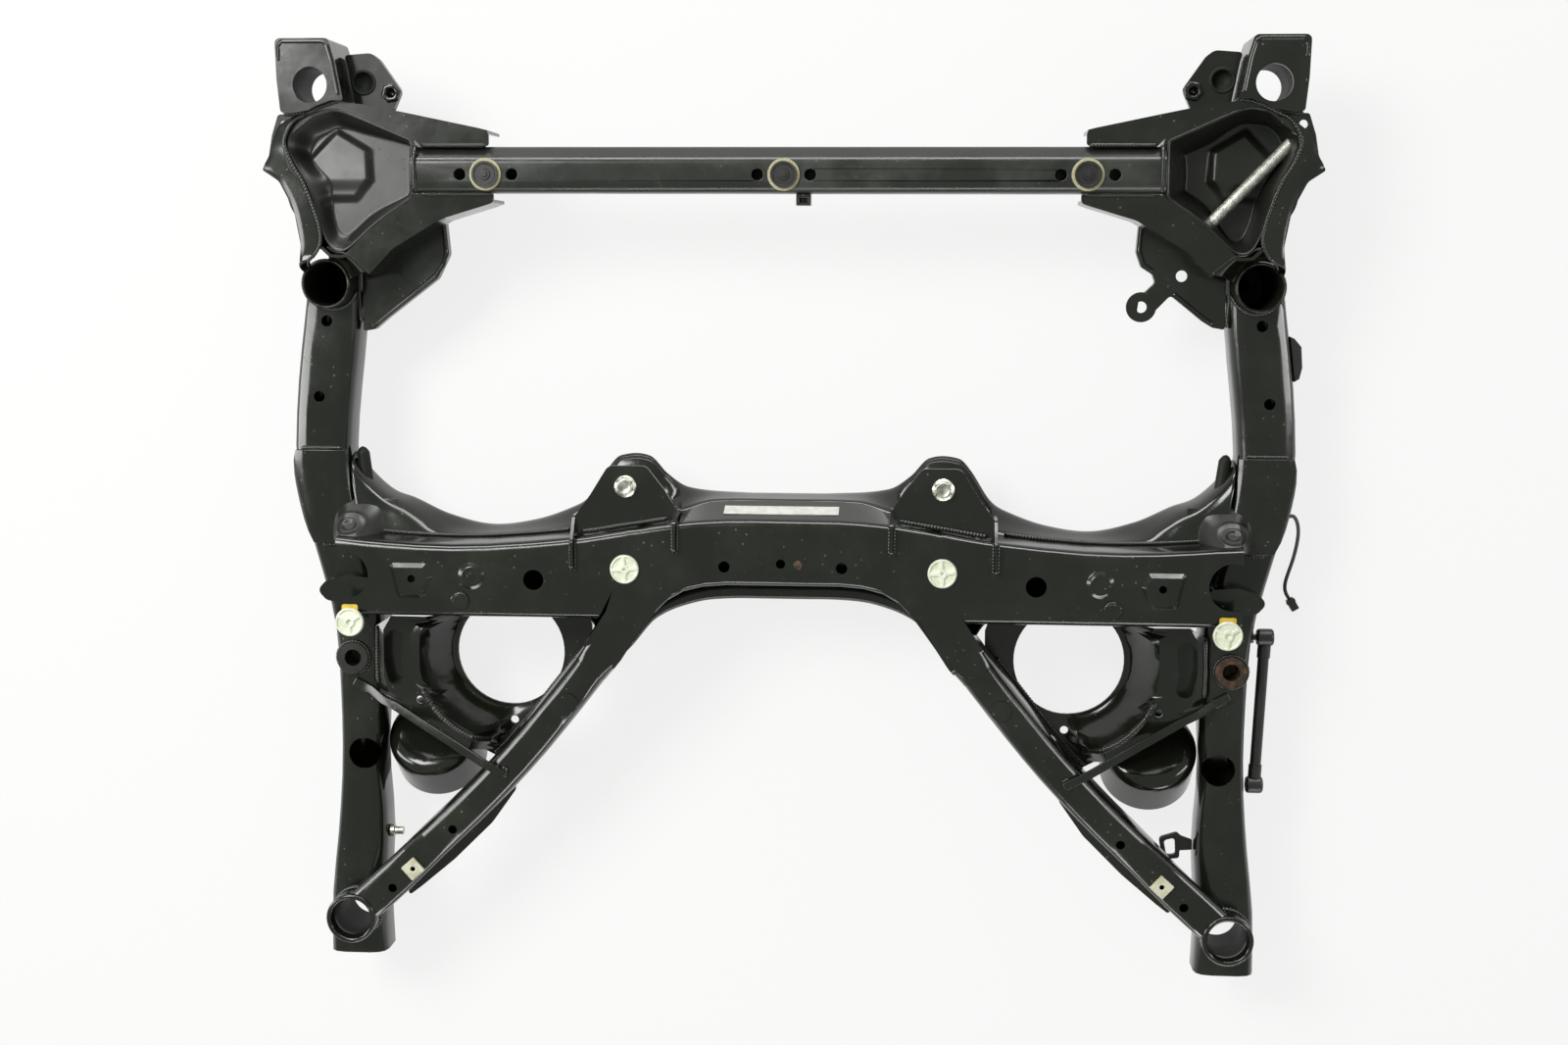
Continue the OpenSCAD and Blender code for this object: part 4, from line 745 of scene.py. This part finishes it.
def makeThread(spec, material):
    start, end = np.array(spec["from"], float), np.array(spec["to"], float)
    length = np.linalg.norm(end - start)
    axis = (end - start) / length
    side = np.cross([0, 0, 1], axis)
    s = np.linspace(0, length, int(length / spec["pitch"] * spec["perPitch"]))[:, None]
    a = np.linspace(0, 2 * np.pi, spec["around"], endpoint=False)[None, :]
    # triangle wave once a pitch along the rod, one turn ahead for each turn round it
    wave = np.abs(2 * ((s / spec["pitch"] - a / (2 * np.pi)) % 1) - 1)
    threaded = ease((s - spec["plainUntil"]) / spec["runOut"])
    radius = blend(spec["crest"], spec["root"], wave * threaded)
    radius = np.minimum(radius, spec["root"] - spec["chamfer"] + np.minimum(s, length - s))
    radius = np.where((s == 0) | (s == length), 0.01, radius)
    points = (start + s[..., None] * axis + (radius * np.cos(a))[..., None] * side
              + (radius * np.sin(a))[..., None] * np.array([0, 0, 1.0]))
    faces = gridFaces(*points.shape[:2], False, True)
    addPiece("strutRodThread", [(points, faces)], material, replaced=["strut_bolt"])


makeThread(strutRod, zincPlate("zincFlakeCoatedSteel", "#ecece6", "#cfcfc8", 0.55))


def ringRows(rows, around):
    # closed surface of stacked rings: rows holds (radius, height) per ring; either may vary with the angle
    a = np.linspace(0, 2 * np.pi, around, endpoint=False)

    def perAngle(value):
        return np.broadcast_to(np.asarray(value(a) if callable(value) else value, float), a.shape)

    radius = np.stack([perAngle(r) for r, z in rows])
    height = np.stack([perAngle(z) for r, z in rows])
    points = np.stack([radius * np.cos(a), radius * np.sin(a), height], -1)
    return points, gridFaces(len(rows), around, False, True)


# Push clips: moulded discs with a rim, spokes over sunk segments and a bored hub, in millimetres
pushClips = {
    "face": {"nodes": ["face_clips"], "place": (154, -47, 150.3), "spokes": 4, "turn": 5, "bore": 1.5,
             "hub": 4.6},
    "corner": {"nodes": ["corner_clips"], "place": (426.5, -103, 151.8), "spokes": 3, "turn": 32, "bore": 2.6,
               "hub": 5.2},
    "radius": 14.2,
    "rim": 11.9,
    "sunk": 1.7,
    "top": 3.3,
    "dome": 0.9,  # the middle stands this much over the top
    "spoke": (2.0, 0.7),  # half width of a spoke and width of its slope
    "slope": (0.5, 0.9),  # where the slopes of rim and hub start, and their width
    "boreFloor": 0.6,
    "boreSlope": 0.6,
    "stem": 3.7,
    "stemEnd": -9.5,
    "around": 132,
}


def clipSurface(spec, kind):
    spokeHalf, spokeSlope = spec["spoke"]
    start, slope = spec["slope"]

    def top(radius):
        def height(a):
            # spokes stand where the arc distance to the nearest spoke is under their half width
            share = 2 * np.pi / kind["spokes"]
            off = np.abs((a - math.radians(kind["turn"]) + share / 2) % share - share / 2) * radius
            onRim = ease((radius - spec["rim"] + start) / slope)
            onHub = ease((kind["hub"] + start - radius) / slope)
            raised = np.maximum(np.maximum(ease((spokeHalf - off) / spokeSlope), onRim), onHub)
            dome = spec["top"] + spec["dome"] * (1 - (radius / spec["radius"]) ** 2)
            bored = ease((kind["bore"] + spec["boreSlope"] / 2 - radius) / spec["boreSlope"])
            return blend(blend(spec["sunk"], dome, raised), spec["boreFloor"], bored)
        return height

    edge, stem, end = spec["radius"], spec["stem"], spec["stemEnd"]
    rows = [(0.01, end), (stem - 1.6, end), (stem, -6), (stem, 0), (edge - 0.5, 0), (edge, 0.5), (edge, 1.4),
            (edge - 0.35, 2.3)]
    radii = np.concatenate([np.linspace(edge - 0.9, 2.9, 34), np.linspace(2.8, 0.01, 12)])
    rows += [(r, top(r)) for r in radii]
    return ringRows(rows, spec["around"])


for word in ("face", "corner"):
    kind = pushClips[word]
    addPiece(word + "ClipDiscs", atBothPlaces(clipSurface(pushClips, kind), kind["place"]),
             finishes["grey_plastic"], replaced=kind["nodes"])

# Steering gear bolts: washer-faced hexagon heads on plain shanks, in millimetres
gearBolt = {
    "place": (154, 33, 0),
    "tip": 79.4,
    "seat": 141.3,
    "shank": 4.98,
    "flange": 10.9,
    "flats": 7.6,  # half the width across them
    "turn": 0.4,
    "head": 8.0,
    "around": 96,
}


def hexagon(flats, turn, limit=99):
    # six flats: half the width across them over the cosine of the angle from the nearest flat's middle,
    # with its corners turned down to the limit
    return lambda a: np.minimum(flats / np.cos((a + turn) % (np.pi / 3) - np.pi / 6), limit)


def boltSurface(spec):
    # rings from the shank's tip over the washer face and the chamfered hexagon to the sunk top
    tip, shank, flange, flats, turn = (spec[word] for word in ("tip", "shank", "flange", "flats", "turn"))
    seat, top = spec["seat"], spec["seat"] + spec["head"]
    rows = [
        (0.01, tip), (shank - 0.8, tip), (shank, tip + 0.8), (shank, seat), (flange - 0.3, seat),
        (flange, seat + 0.4), (flange, seat + 1.3), (flange - 0.5, seat + 1.9),
        (hexagon(1.06 * flats, turn), seat + 2.7), (hexagon(flats, turn), seat + 3.1),
        (hexagon(flats, turn), top - 1.5), (hexagon(flats, turn, 8.3), top - 0.9),
        (hexagon(0.99 * flats, turn, 7.7), top - 0.4), (6.9, top - 0.1), (5.4, top - 0.1), (4.9, top - 0.5),
        (0.01, top - 0.5),
    ]
    return ringRows(rows, spec["around"])


addPiece("gearBoltHeads", atBothPlaces(boltSurface(gearBolt), gearBolt["place"]), finishes["zinc_steel"],
         replaced=["gear_bolts"])
print("clips and bolts ready")


# Seams along the crossmember, the leg's root, the brace and the corner, on the right half with a mirror
frameSeams = {
    # along X: from and to, points, distance before the line they follow, height, radius
    "lap": {"x": (214, 426), "points": 60, "off": 6.4, "height": 104.4, "radius": 2.1},
    "rear": {"x": (214, 408), "points": 60, "off": -99.4, "height": 112.5, "radius": 2.4},
    "edge": {"x": (112, 198), "points": 30, "off": 2, "height": 142.4, "radius": 2.3},
    "brackets": [(205, -48, -17), (105, -30, 1)],  # flange place, foot from and to
    "foot": {"half": 2.1, "height": (150.4, 150.2), "radius": 1.5},
    "inSpace": [
        # path, radius
        ([(353, 315, 148), (353, 319, 153.5), (353, 326, 156.2), (353, 346, 156.2), (353, 355, 152),
          (353, 358.5, 146)], 2.0),
        ([(424, 400.2, 145.4), (432, 400.2, 145.4), (447, 394.9, 145.4), (456, 390.4, 145.4),
          (470, 388.1, 145.4), (482, 388.1, 145.4)], 2.0),
        ([(436, -178.2, 101.3), (430, -181, 101.3), (424, -184, 101.8)], 1.8),
        ([(283, -258, 141), (276, -257.6, 141), (274.6, -251.6, 141), (280, -248.5, 141)], 1.7),
    ],
    "ridge": {"middle": (282, -144), "radius": 89, "angles": (-78, -22), "points": 30, "bead": 3.2},
}


def seamAlongX(seam, line):
    # line gives y for each x, and the seam keeps its own distance from it
    x = np.linspace(*seam["x"], seam["points"])
    return np.stack([x, line(x) + seam["off"], np.full_like(x, seam["height"])], -1), seam["radius"]


def crossmemberSeams(spec):
    yield seamAlongX(spec["lap"], coverBend)
    yield seamAlongX(spec["rear"], np.zeros_like)
    foot = spec["foot"]
    high, low = foot["height"]
    for place, back, front in spec["brackets"]:
        for x in (place - foot["half"], place + foot["half"]):
            path = [(x, back - 1, high), (x, (back + front) / 2, high), (x, front, low)]
            yield path, foot["radius"]
    yield seamAlongX(spec["edge"], trayFront)
    yield from spec["inSpace"]
    arc = spec["ridge"]
    plan = circlePath(*arc["middle"], 0, arc["radius"], *arc["angles"], arc["points"])[:, :2]
    yield seatedPath(plan, ["gusset_right"]), arc["bead"]


def makeFrameSeams(spec, material):
    grids = []
    for path, radius in crossmemberSeams(spec):
        grids += beadPair(path, radius)
    addPiece("frameSeamBeads", grids, material)
    print("frame seams:", len(grids))


makeFrameSeams(frameSeams, coatedWeld)


# Root of each leg: the cover's end runs smoothly into the leg's section, in millimetres along the leg
legRoot = {
    "start": (183, -138),
    "along": (0.6128, -0.7902),
    "from": -15,
    "to": 13,
    "middleHeight": 115.7,
    "top": (150.25, 148.5),
    "halfWidth": (19.4, 18.9),
    "power": (7, 4),  # of the rounded section (x/a)^p + (z/b)^p = 1
    "arc": (-2, 182),  # degrees of the section that are drawn
    "rows": 24,
    "columns": 40,
}


def makeLegRoots(spec, material):
    # sections whose half width, height and power change along the leg
    v = np.linspace(spec["from"], spec["to"], spec["rows"])[:, None]
    t = ease((v - spec["from"]) / (spec["to"] - spec["from"]))
    angle = np.radians(np.linspace(*spec["arc"], spec["columns"]))[None, :]
    c, s = np.cos(angle), np.sin(angle)
    power = 2 / blend(*spec["power"], t)
    across = blend(*spec["halfWidth"], t) * np.sign(c) * np.abs(c) ** power
    height = (blend(*spec["top"], t) - spec["middleHeight"]) * np.sign(s) * np.abs(s) ** power
    ax, ay = spec["along"]
    right = np.stack([spec["start"][0] + ax * v - ay * across, spec["start"][1] + ay * v + ax * across,
                      spec["middleHeight"] + height], -1)
    roots = bothSides((right, gridFaces(spec["rows"], spec["columns"])))
    addPiece("legRoots", roots, material)


makeLegRoots(legRoot, coat)


def tubeGrid(path, radius, sides=10, step=2.0):
    # smooth round bar along a path, with round ends
    p, at = evenSpacing(path, step, False)
    along, across, up = pathFrames(p, False)
    angle = np.linspace(0, 2 * np.pi, sides, endpoint=False)[None, :, None]
    size = radius * np.sqrt(np.clip(np.minimum(at, at[-1] - at) / radius, 0.001, 1))[:, None, None]
    points = p[:, None, :] + size * (np.cos(angle) * across[:, None, :] + np.sin(angle) * up[:, None, :])
    return points, gridFaces(len(p), sides, False, True)


def roundLoop(points, times=3):
    # Chaikin on a closed outline: every corner gives way to points a quarter along its two sides
    p = np.asarray(points, float)
    for _ in range(times):
        q = np.roll(p, -1, axis=0)
        p = np.stack([0.75 * p + 0.25 * q, 0.25 * p + 0.75 * q], 1).reshape(-1, p.shape[1])
    return p


def thicken(piece, sheet):
    # closes the poles of a sheet and gives it its thickness on the far side
    piece.modifiers.new("closePoles", "WELD").merge_threshold = 0.01 * mm
    wall = piece.modifiers.new("sheetThickness", "SOLIDIFY")
    wall.thickness = sheet * mm
    wall.offset = -1


# Basin of each corner pocket: walls drawn down smoothly from the mouth, with a raised field in the floor
cornerBasin = {
    "mouth": [(357.5, 318), (357.5, 311), (364, 306), (391, 288), (420, 261), (428, 257), (438, 259),
              (447, 276), (454, 300), (461, 320), (474, 343), (482, 362), (469, 384), (446, 392),
              (430, 394.5), (400, 382), (364, 366), (357.5, 363), (357.5, 356)],
    "middle": (424, 332),
    "rim": 145.5,
    "field": [(415, 305), (471, 305), (480, 335), (437, 379), (401, 358), (399, 326)],
    # floor's height and its fall to the front; width of the wall outside and at the tube's end; field's
    # height at its edge, more at the ledge, and the width of its slope
    "left": {"floor": (125, 0.08), "slope": (22, 8), "field": (3, 1.5, 8)},
    "right": {"floor": (97, 0), "slope": (9, 26), "field": (4, 3, 9)},  # deeper, as the strut bolt lies in it
    "ledge": (328, 315),  # the field falls to its edge between these two
    "swellPower": 1.5,
    "wallFrom": (460, 100),  # the wall's width changes from this x inwards, over this length
    "lip": (0.9, 2, 1.4),  # height, distance inside the mouth, half width
    "rows": 56,
    "sheet": 1.5,
}


def basinSurface(spec, side):
    # rings from the mouth to the middle: the height eases from rim to floor, plus the lip and the field
    deep = spec[side]
    mouth = roundLoop(spec["mouth"])
    middle = np.array(spec["middle"], float)
    t = np.linspace(0, 1, spec["rows"])[:, None, None]
    plan = blend(mouth[None], middle, t)
    x, y = plan[..., 0], plan[..., 1]
    inside = t[..., 0] * np.linalg.norm(mouth - middle, axis=1)[None, :]
    start, over = spec["wallFrom"]
    width = blend(*deep["slope"], np.clip((start - mouth[:, 0]) / over, 0, 1))[None, :]
    down = ease(inside / width)
    corners = np.array(spec["field"], float)
    run = np.roll(corners, -1, axis=0) - corners
    run /= np.linalg.norm(run, axis=1)[:, None]
    # distance into the field: the least distance from its sides, on their left
    into = np.min((y[..., None] - corners[:, 1]) * run[:, 0] - (x[..., None] - corners[:, 0]) * run[:, 1], -1)
    top = corners[:, 1].max()
    high, low = spec["ledge"]
    above = np.clip((top - y) / (top - high), 0, 1) ** spec["swellPower"]
    swell = np.where(y >= high, above, 1 - ease((high - y) / (high - low)))
    edge, more, slope = deep["field"]
    height, fall = deep["floor"]
    floor = height - fall * (y - middle[1])
    lipHeight, lipAt, lipHalf = spec["lip"]
    lip = lipHeight * np.exp(-((inside - lipAt) / lipHalf) ** 2)
    z = blend(spec["rim"], floor, down) + lip + down * ease(into / slope) * (edge + more * swell)
    return np.stack([x, y, z], -1), gridFaces(len(t), len(mouth), False, True)[:, ::-1]


basins = bothSides(basinSurface(cornerBasin, "right"), basinSurface(cornerBasin, "left"))
thicken(addPiece("cornerBasins", basins, coatDull), cornerBasin["sheet"])

# Wing of each corner: a flange from the basin's outer edge to its point and down to the sleeve
cornerWing = {
    "topLeft": [((458, 389, 147), (468, 388.3, 146)), ((471, 381, 148.4), (486, 378, 146))],
    # the right one stays clear of its hole
    "topRight": [((458, 389, 147), (464, 388.3, 146)), ((471, 381, 148.4), (477, 379, 146))],
    "stations": [
        # inner edge, outer edge
        ((480, 364, 149), (492.5, 365, 145.9)), ((477, 350, 149), (497, 349.5, 145.8)),
        ((471, 337, 149), (502, 337, 145.8)), ((464, 326, 149), (489, 326, 145.8)),
        ((458, 312, 148.7), (480, 311, 145.8)), ((454, 300, 148.3), (474.5, 298, 145.8)),
        ((449, 283, 147.5), (470, 278, 145.7)), ((448, 267, 146.8), (468.3, 264, 145.6)),
        ((454.5, 255, 146.2), (469, 254, 145.6)), ((460.5, 249.5, 145.8), (470.2, 244.6, 145.6)),
        ((464, 245, 134), (472, 240.5, 134)), ((466, 242.5, 122), (473, 238, 122)),
    ],
    "perSpan": 6,
    # section: share of the way across, height over the flat
    "across": [(0, -4), (0, -0.8), (0.03, 0), (0.2, 0), (0.45, 0), (0.7, 0), (0.94, 0), (0.995, -0.7),
               (1, -2.4)],
    "sheet": 0.8,
    "bead": 1.7,
}


def wingEdges(spec, top):
    stations = np.array(spec[top] + spec["stations"], float)
    return smoothPath(stations[:, 0], spec["perSpan"]), smoothPath(stations[:, 1], spec["perSpan"])


def wingSurface(spec, top):
    # the section carried along the inner and the outer edge
    inner, outer = wingEdges(spec, top)
    share, turn = np.array(spec["across"], float).T
    points = blend(inner[:, None], outer[:, None], share[None, :, None])
    points[..., 2] += turn[None, :]
    return points, gridFaces(*points.shape[:2])


wings = bothSides(wingSurface(cornerWing, "topRight"), wingSurface(cornerWing, "topLeft"))
thicken(addPiece("cornerWings", wings, coat), cornerWing["sheet"])
rightEdge, leftEdge = wingEdges(cornerWing, "topRight")[0], wingEdges(cornerWing, "topLeft")[0]
wingBeads = [beadGrid(rightEdge, cornerWing["bead"]), beadGrid(mirrored(leftEdge), cornerWing["bead"])]
addPiece("cornerWingBeads", wingBeads, coatedWeld)

# Bridge of each corner: the sheet between the basin's low end and the front sleeve
sleeveBridge = {
    "from": [(402, 240, 145.4), (414, 249.5, 145.4), (424, 256.5, 145.4), (434, 258, 145.4),
             (442, 263, 145.4)],
    "sleeve": (452, 227),
    "radius": 24.4,
    "angles": (170, 99),
    "onward": [(450, 264, 145.4), (456, 256, 145.4), (461, 250, 145.4)],  # the right one reaches the wing
    "onwardAngle": 62,
    "perSpan": 8,
    "height": 120.4,
    "reach": 0.92,  # share of the fall that is used, so that the sheet still falls at the sleeve
    "rows": 16,
    "sheet": 1.2,
}


def bridgeSurface(spec, onward):
    # lines from the basin's edge to an arc round the sleeve, whose height eases down
    start = smoothPath(spec["from"] + (spec["onward"] if onward else []), spec["perSpan"])
    first, last = spec["angles"]
    last = spec["onwardAngle"] if onward else last
    end = circlePath(*spec["sleeve"], spec["height"], spec["radius"], first, last, len(start))
    t = np.linspace(0, 1, spec["rows"])[:, None, None]
    points = blend(start[None], end[None], t)
    points[..., 2] = blend(start[None, :, 2], end[None, :, 2], ease(t[..., 0] * spec["reach"]))
    return points, gridFaces(*points.shape[:2])


bridges = bothSides(bridgeSurface(sleeveBridge, True), bridgeSurface(sleeveBridge, False))
thicken(addPiece("sleeveBridges", bridges, coat), sleeveBridge["sheet"])
print("corners ready")

# Rolled edges: the ears' folded rims, the skirts' turned edges and the arch on the face
rolledEdges = {
    "both": [
        ([(481.6, 436, 155), (481.6, 451, 155), (478.6, 455.2, 155), (439, 455.2, 155), (434.6, 452.4, 155),
          (430.2, 437, 155), (424.2, 404, 155)], 2.3),
        (circlePath(317, -81, 151.2, 7.6, -10, 190, 20), 1.9),
    ],
    "left": [([(342, 291, 89), (339, 258, 89), (342, 246, 89), (350.5, 234.5, 89), (399, 196.5, 89),
               (412, 186, 89)], 2.3)],
    "right": [([(342, 290, 89), (340, 262, 89), (344, 249, 89), (354, 242, 89)], 2.2),
              ([(373, 221.5, 89), (403, 197.5, 89), (413, 191, 89)], 2.2)],
}
edgeBars = [tubeGrid(path, radius) for path, radius in rolledEdges["both"] + rolledEdges["right"]]
edgeBars += [tubeGrid(mirrored(path), radius) for path, radius in rolledEdges["both"] + rolledEdges["left"]]
addPiece("rolledEdges", edgeBars, coat)

# Round forms on flat sheet: the raised rings on the face, and the drawn holes and nuts of the ear plates
roundForms = {
    # place, and radius and height of each ring
    "faceRing": {
        "place": (305, -56, 150),
        "rows": [(13.4, 0.1), (12.6, 0.5), (10.2, 2.7), (9, 3.2), (7.6, 3.2), (6, 2.8), (4.4, 2.7),
                 (3.2, 3.1), (0.01, 3.2)],
    },
    "drawnHole": {
        "place": (410, 420, 120),
        "rows": [(12.6, 0.05), (11.8, 0.7), (10.2, 0.9), (9.35, 0.3), (9.3, -1), (9.2, -5.4), (0.01, -5.5)],
    },
    "nut": {"place": (383, 410, 120), "flats": 8.2, "turn": 0.2},
}


def nutRows(flats, turn):
    # a hexagon with a foot and a rounded top, and its bore
    foot, wall = hexagon(1.06 * flats, turn), hexagon(flats, turn)
    return [(foot, 0.05), (wall, 0.7), (wall, 3.2), (flats * 0.98, 3.9), (5.2, 4), (4.3, 3.3), (4.2, -5.4),
            (0.01, -5.5)]


def formGrids(place, rows, around=64):
    points, faces = ringRows(rows, around)
    return bothSides((points + np.array(place, float), faces))


faceRing, drawnHole, plateNut = (roundForms[word] for word in ("faceRing", "drawnHole", "nut"))
addPiece("faceRings", formGrids(faceRing["place"], faceRing["rows"]), coat)
# painted shade: the coat with its gloss cut (rough, low IOR), so the bores, the drawn holes' floors and the
# saddle lugs read dark as if in shade; its film is a little lighter than the coat's, a painted fill so the
# deep bores keep some light
coatPaintedShade = dipCoat("cathodicDipCoatPaintedShade", "#1d2019", "#272a22", 0.5, 0.2, 0.3, 1.25)
addPiece("earPlateHoles", formGrids(drawnHole["place"], drawnHole["rows"]), coatPaintedShade)
addPiece("earPlateNuts", formGrids(plateNut["place"], nutRows(plateNut["flats"], plateNut["turn"])), coat)

# Worn rims of the front sleeves, rubbed to bare steel
sleeveRim = {"place": (452, 227, 121), "radius": 22.75, "round": 1.1, "sunk": 0.3, "arc": (200, -20, 12)}


def rimRows(spec):
    # a ring of round section, from its inner side over its top to its outer side
    a = np.radians(np.linspace(*spec["arc"]))
    height = [spec["round"] * math.sin(b) - spec["sunk"] for b in a]
    return [(spec["radius"] + spec["round"] * math.cos(b), z) for b, z in zip(a, height)]


addPiece("sleeveRims", formGrids(sleeveRim["place"], rimRows(sleeveRim)[::-1]), finishes["dark_steel"])

# Finishes that differ on some CAD pieces: dull bores, whose coat has its gloss cut so they read as shade
# (painted shade), and a front tube whose coat is painted lighter for the sheen it shows (painted sheen)
# painted sheen: a lighter film and haze stand in for the reflection along the front tube
coatTubePaintedSheen = dipCoat("cathodicDipCoatPaintedSheen", "#22241f", "#565952", 0.24, 0.4)
otherFinish = {"socket_left": coatDull, "front_tube": coatTubePaintedSheen}
# the sleeves' bores take the painted shade coat
for side in ("left", "right"):
    for word in ("front_sleeve_", "rear_sleeve_", "ear_sleeve_"):
        otherFinish[word + side] = coatPaintedShade
for name, finish in otherFinish.items():
    nodes[name].data.materials.clear()
    nodes[name].data.materials.append(finish)
print("corner details ready")


# Pads from the crossmember's front edge down to the saddles, with a pressed ring, and the lugs beside them
saddlePad = {
    "x": (392, 462),
    "y": (-25, 13),
    "z": (145, 96),
    "ends": (34, 24),  # length over which the pad runs out at its inner and outer end
    "ring": {"x": 433, "y": -10, "radius": 15.5, "round": 2.6, "height": 1.1, "dip": (4.5, 8), "depth": 2},
    "grid": (110, 90),
    "sheet": 1.5,
    "lug": {"path": [(424, 18, 84), (427, 40, 82), (430.5, 64, 80)], "radius": 6.5, "sides": 20, "step": 1.0},
}


def padSurface(spec):
    # an even slope that runs out at both ends, with the ring raised along the slope's normal
    ring = spec["ring"]
    x = np.linspace(*spec["x"], spec["grid"][0])[:, None]
    y = np.linspace(*spec["y"], spec["grid"][1])[None, :]
    z = blend(*spec["z"], (y - spec["y"][0]) / (spec["y"][1] - spec["y"][0]))
    dy, dz = np.gradient(y[0]), np.gradient(z[0])
    ds = np.hypot(dy, dz)
    s = np.cumsum(ds)
    # the ring is drawn round on the slope: its distance is taken along the slope's length
    away = np.hypot(x - ring["x"], (s - np.interp(ring["y"], y[0], s))[None, :])
    near, far = ring["dip"]
    raised = ring["height"] * np.exp(-((away - ring["radius"]) / ring["round"]) ** 2)
    raised = raised - ring["depth"] * (1 - ease((away - near) / (far - near)))
    (first, last), (inner, outer) = spec["x"], spec["ends"]
    whole = ease((x - first) / inner) * ease((last - x) / outer)
    height = blend(spec["z"][1], z, whole)
    points = np.stack([x + 0 * y, y + 0 * x - raised * (dz / ds), height + raised * (dy / ds)], -1)
    return points, gridFaces(*spec["grid"])


thicken(addPiece("saddlePads", bothSides(padSurface(saddlePad)), coatDull), saddlePad["sheet"])
lug = saddlePad["lug"]
lugBar = tubeGrid(lug["path"], lug["radius"], lug["sides"], lug["step"])
# the lugs take the painted shade coat, so they show no highlights
addPiece("saddleLugs", bothSides(lugBar), coatPaintedShade)

# Rusted stud end in the middle of the face
rustyStud = {
    "place": (14.6, -41, 150),
    "rows": [(4.4, 0.05), (3.9, 0.8), (2.6, 1.2), (0.01, 1.3)],
    "around": 32,
}
studPoints, studFaces = ringRows(rustyStud["rows"], rustyStud["around"])
addPiece("rustyStud", [(studPoints + np.array(rustyStud["place"]), studFaces)], finishes["rusty_steel"])
print("saddle details ready")


# Collars of the rear sleeves, standing above the ends of the legs
rearCollar = {
    "place": (440, -413.5, 113),
    "legAt": (422, -394.5),  # where the leg's height is taken
    "above": 2.2,
    "rows": [(25.3, 0), (25.3, -1.6), (24.5, -0.5), (22.8, 0), (21.2, -0.5), (20.4, -1.6), (20.3, 0)],
}


def collarRows(spec):
    # radius and height: outer wall from the sleeve's end, round rim, inner wall back down
    top = dropOn(["leg_right"], *spec["legAt"]) + spec["above"] - spec["place"][2]
    rim = [(r, top + z) for r, z in spec["rows"][1:-1]]
    return [spec["rows"][0]] + rim + [spec["rows"][-1]]


collar = collarRows(rearCollar)
addPiece("rearSleeveCollars", formGrids(rearCollar["place"], collar), coat)
print("rear collars ready, height", round(max(z for r, z in collar), 1))
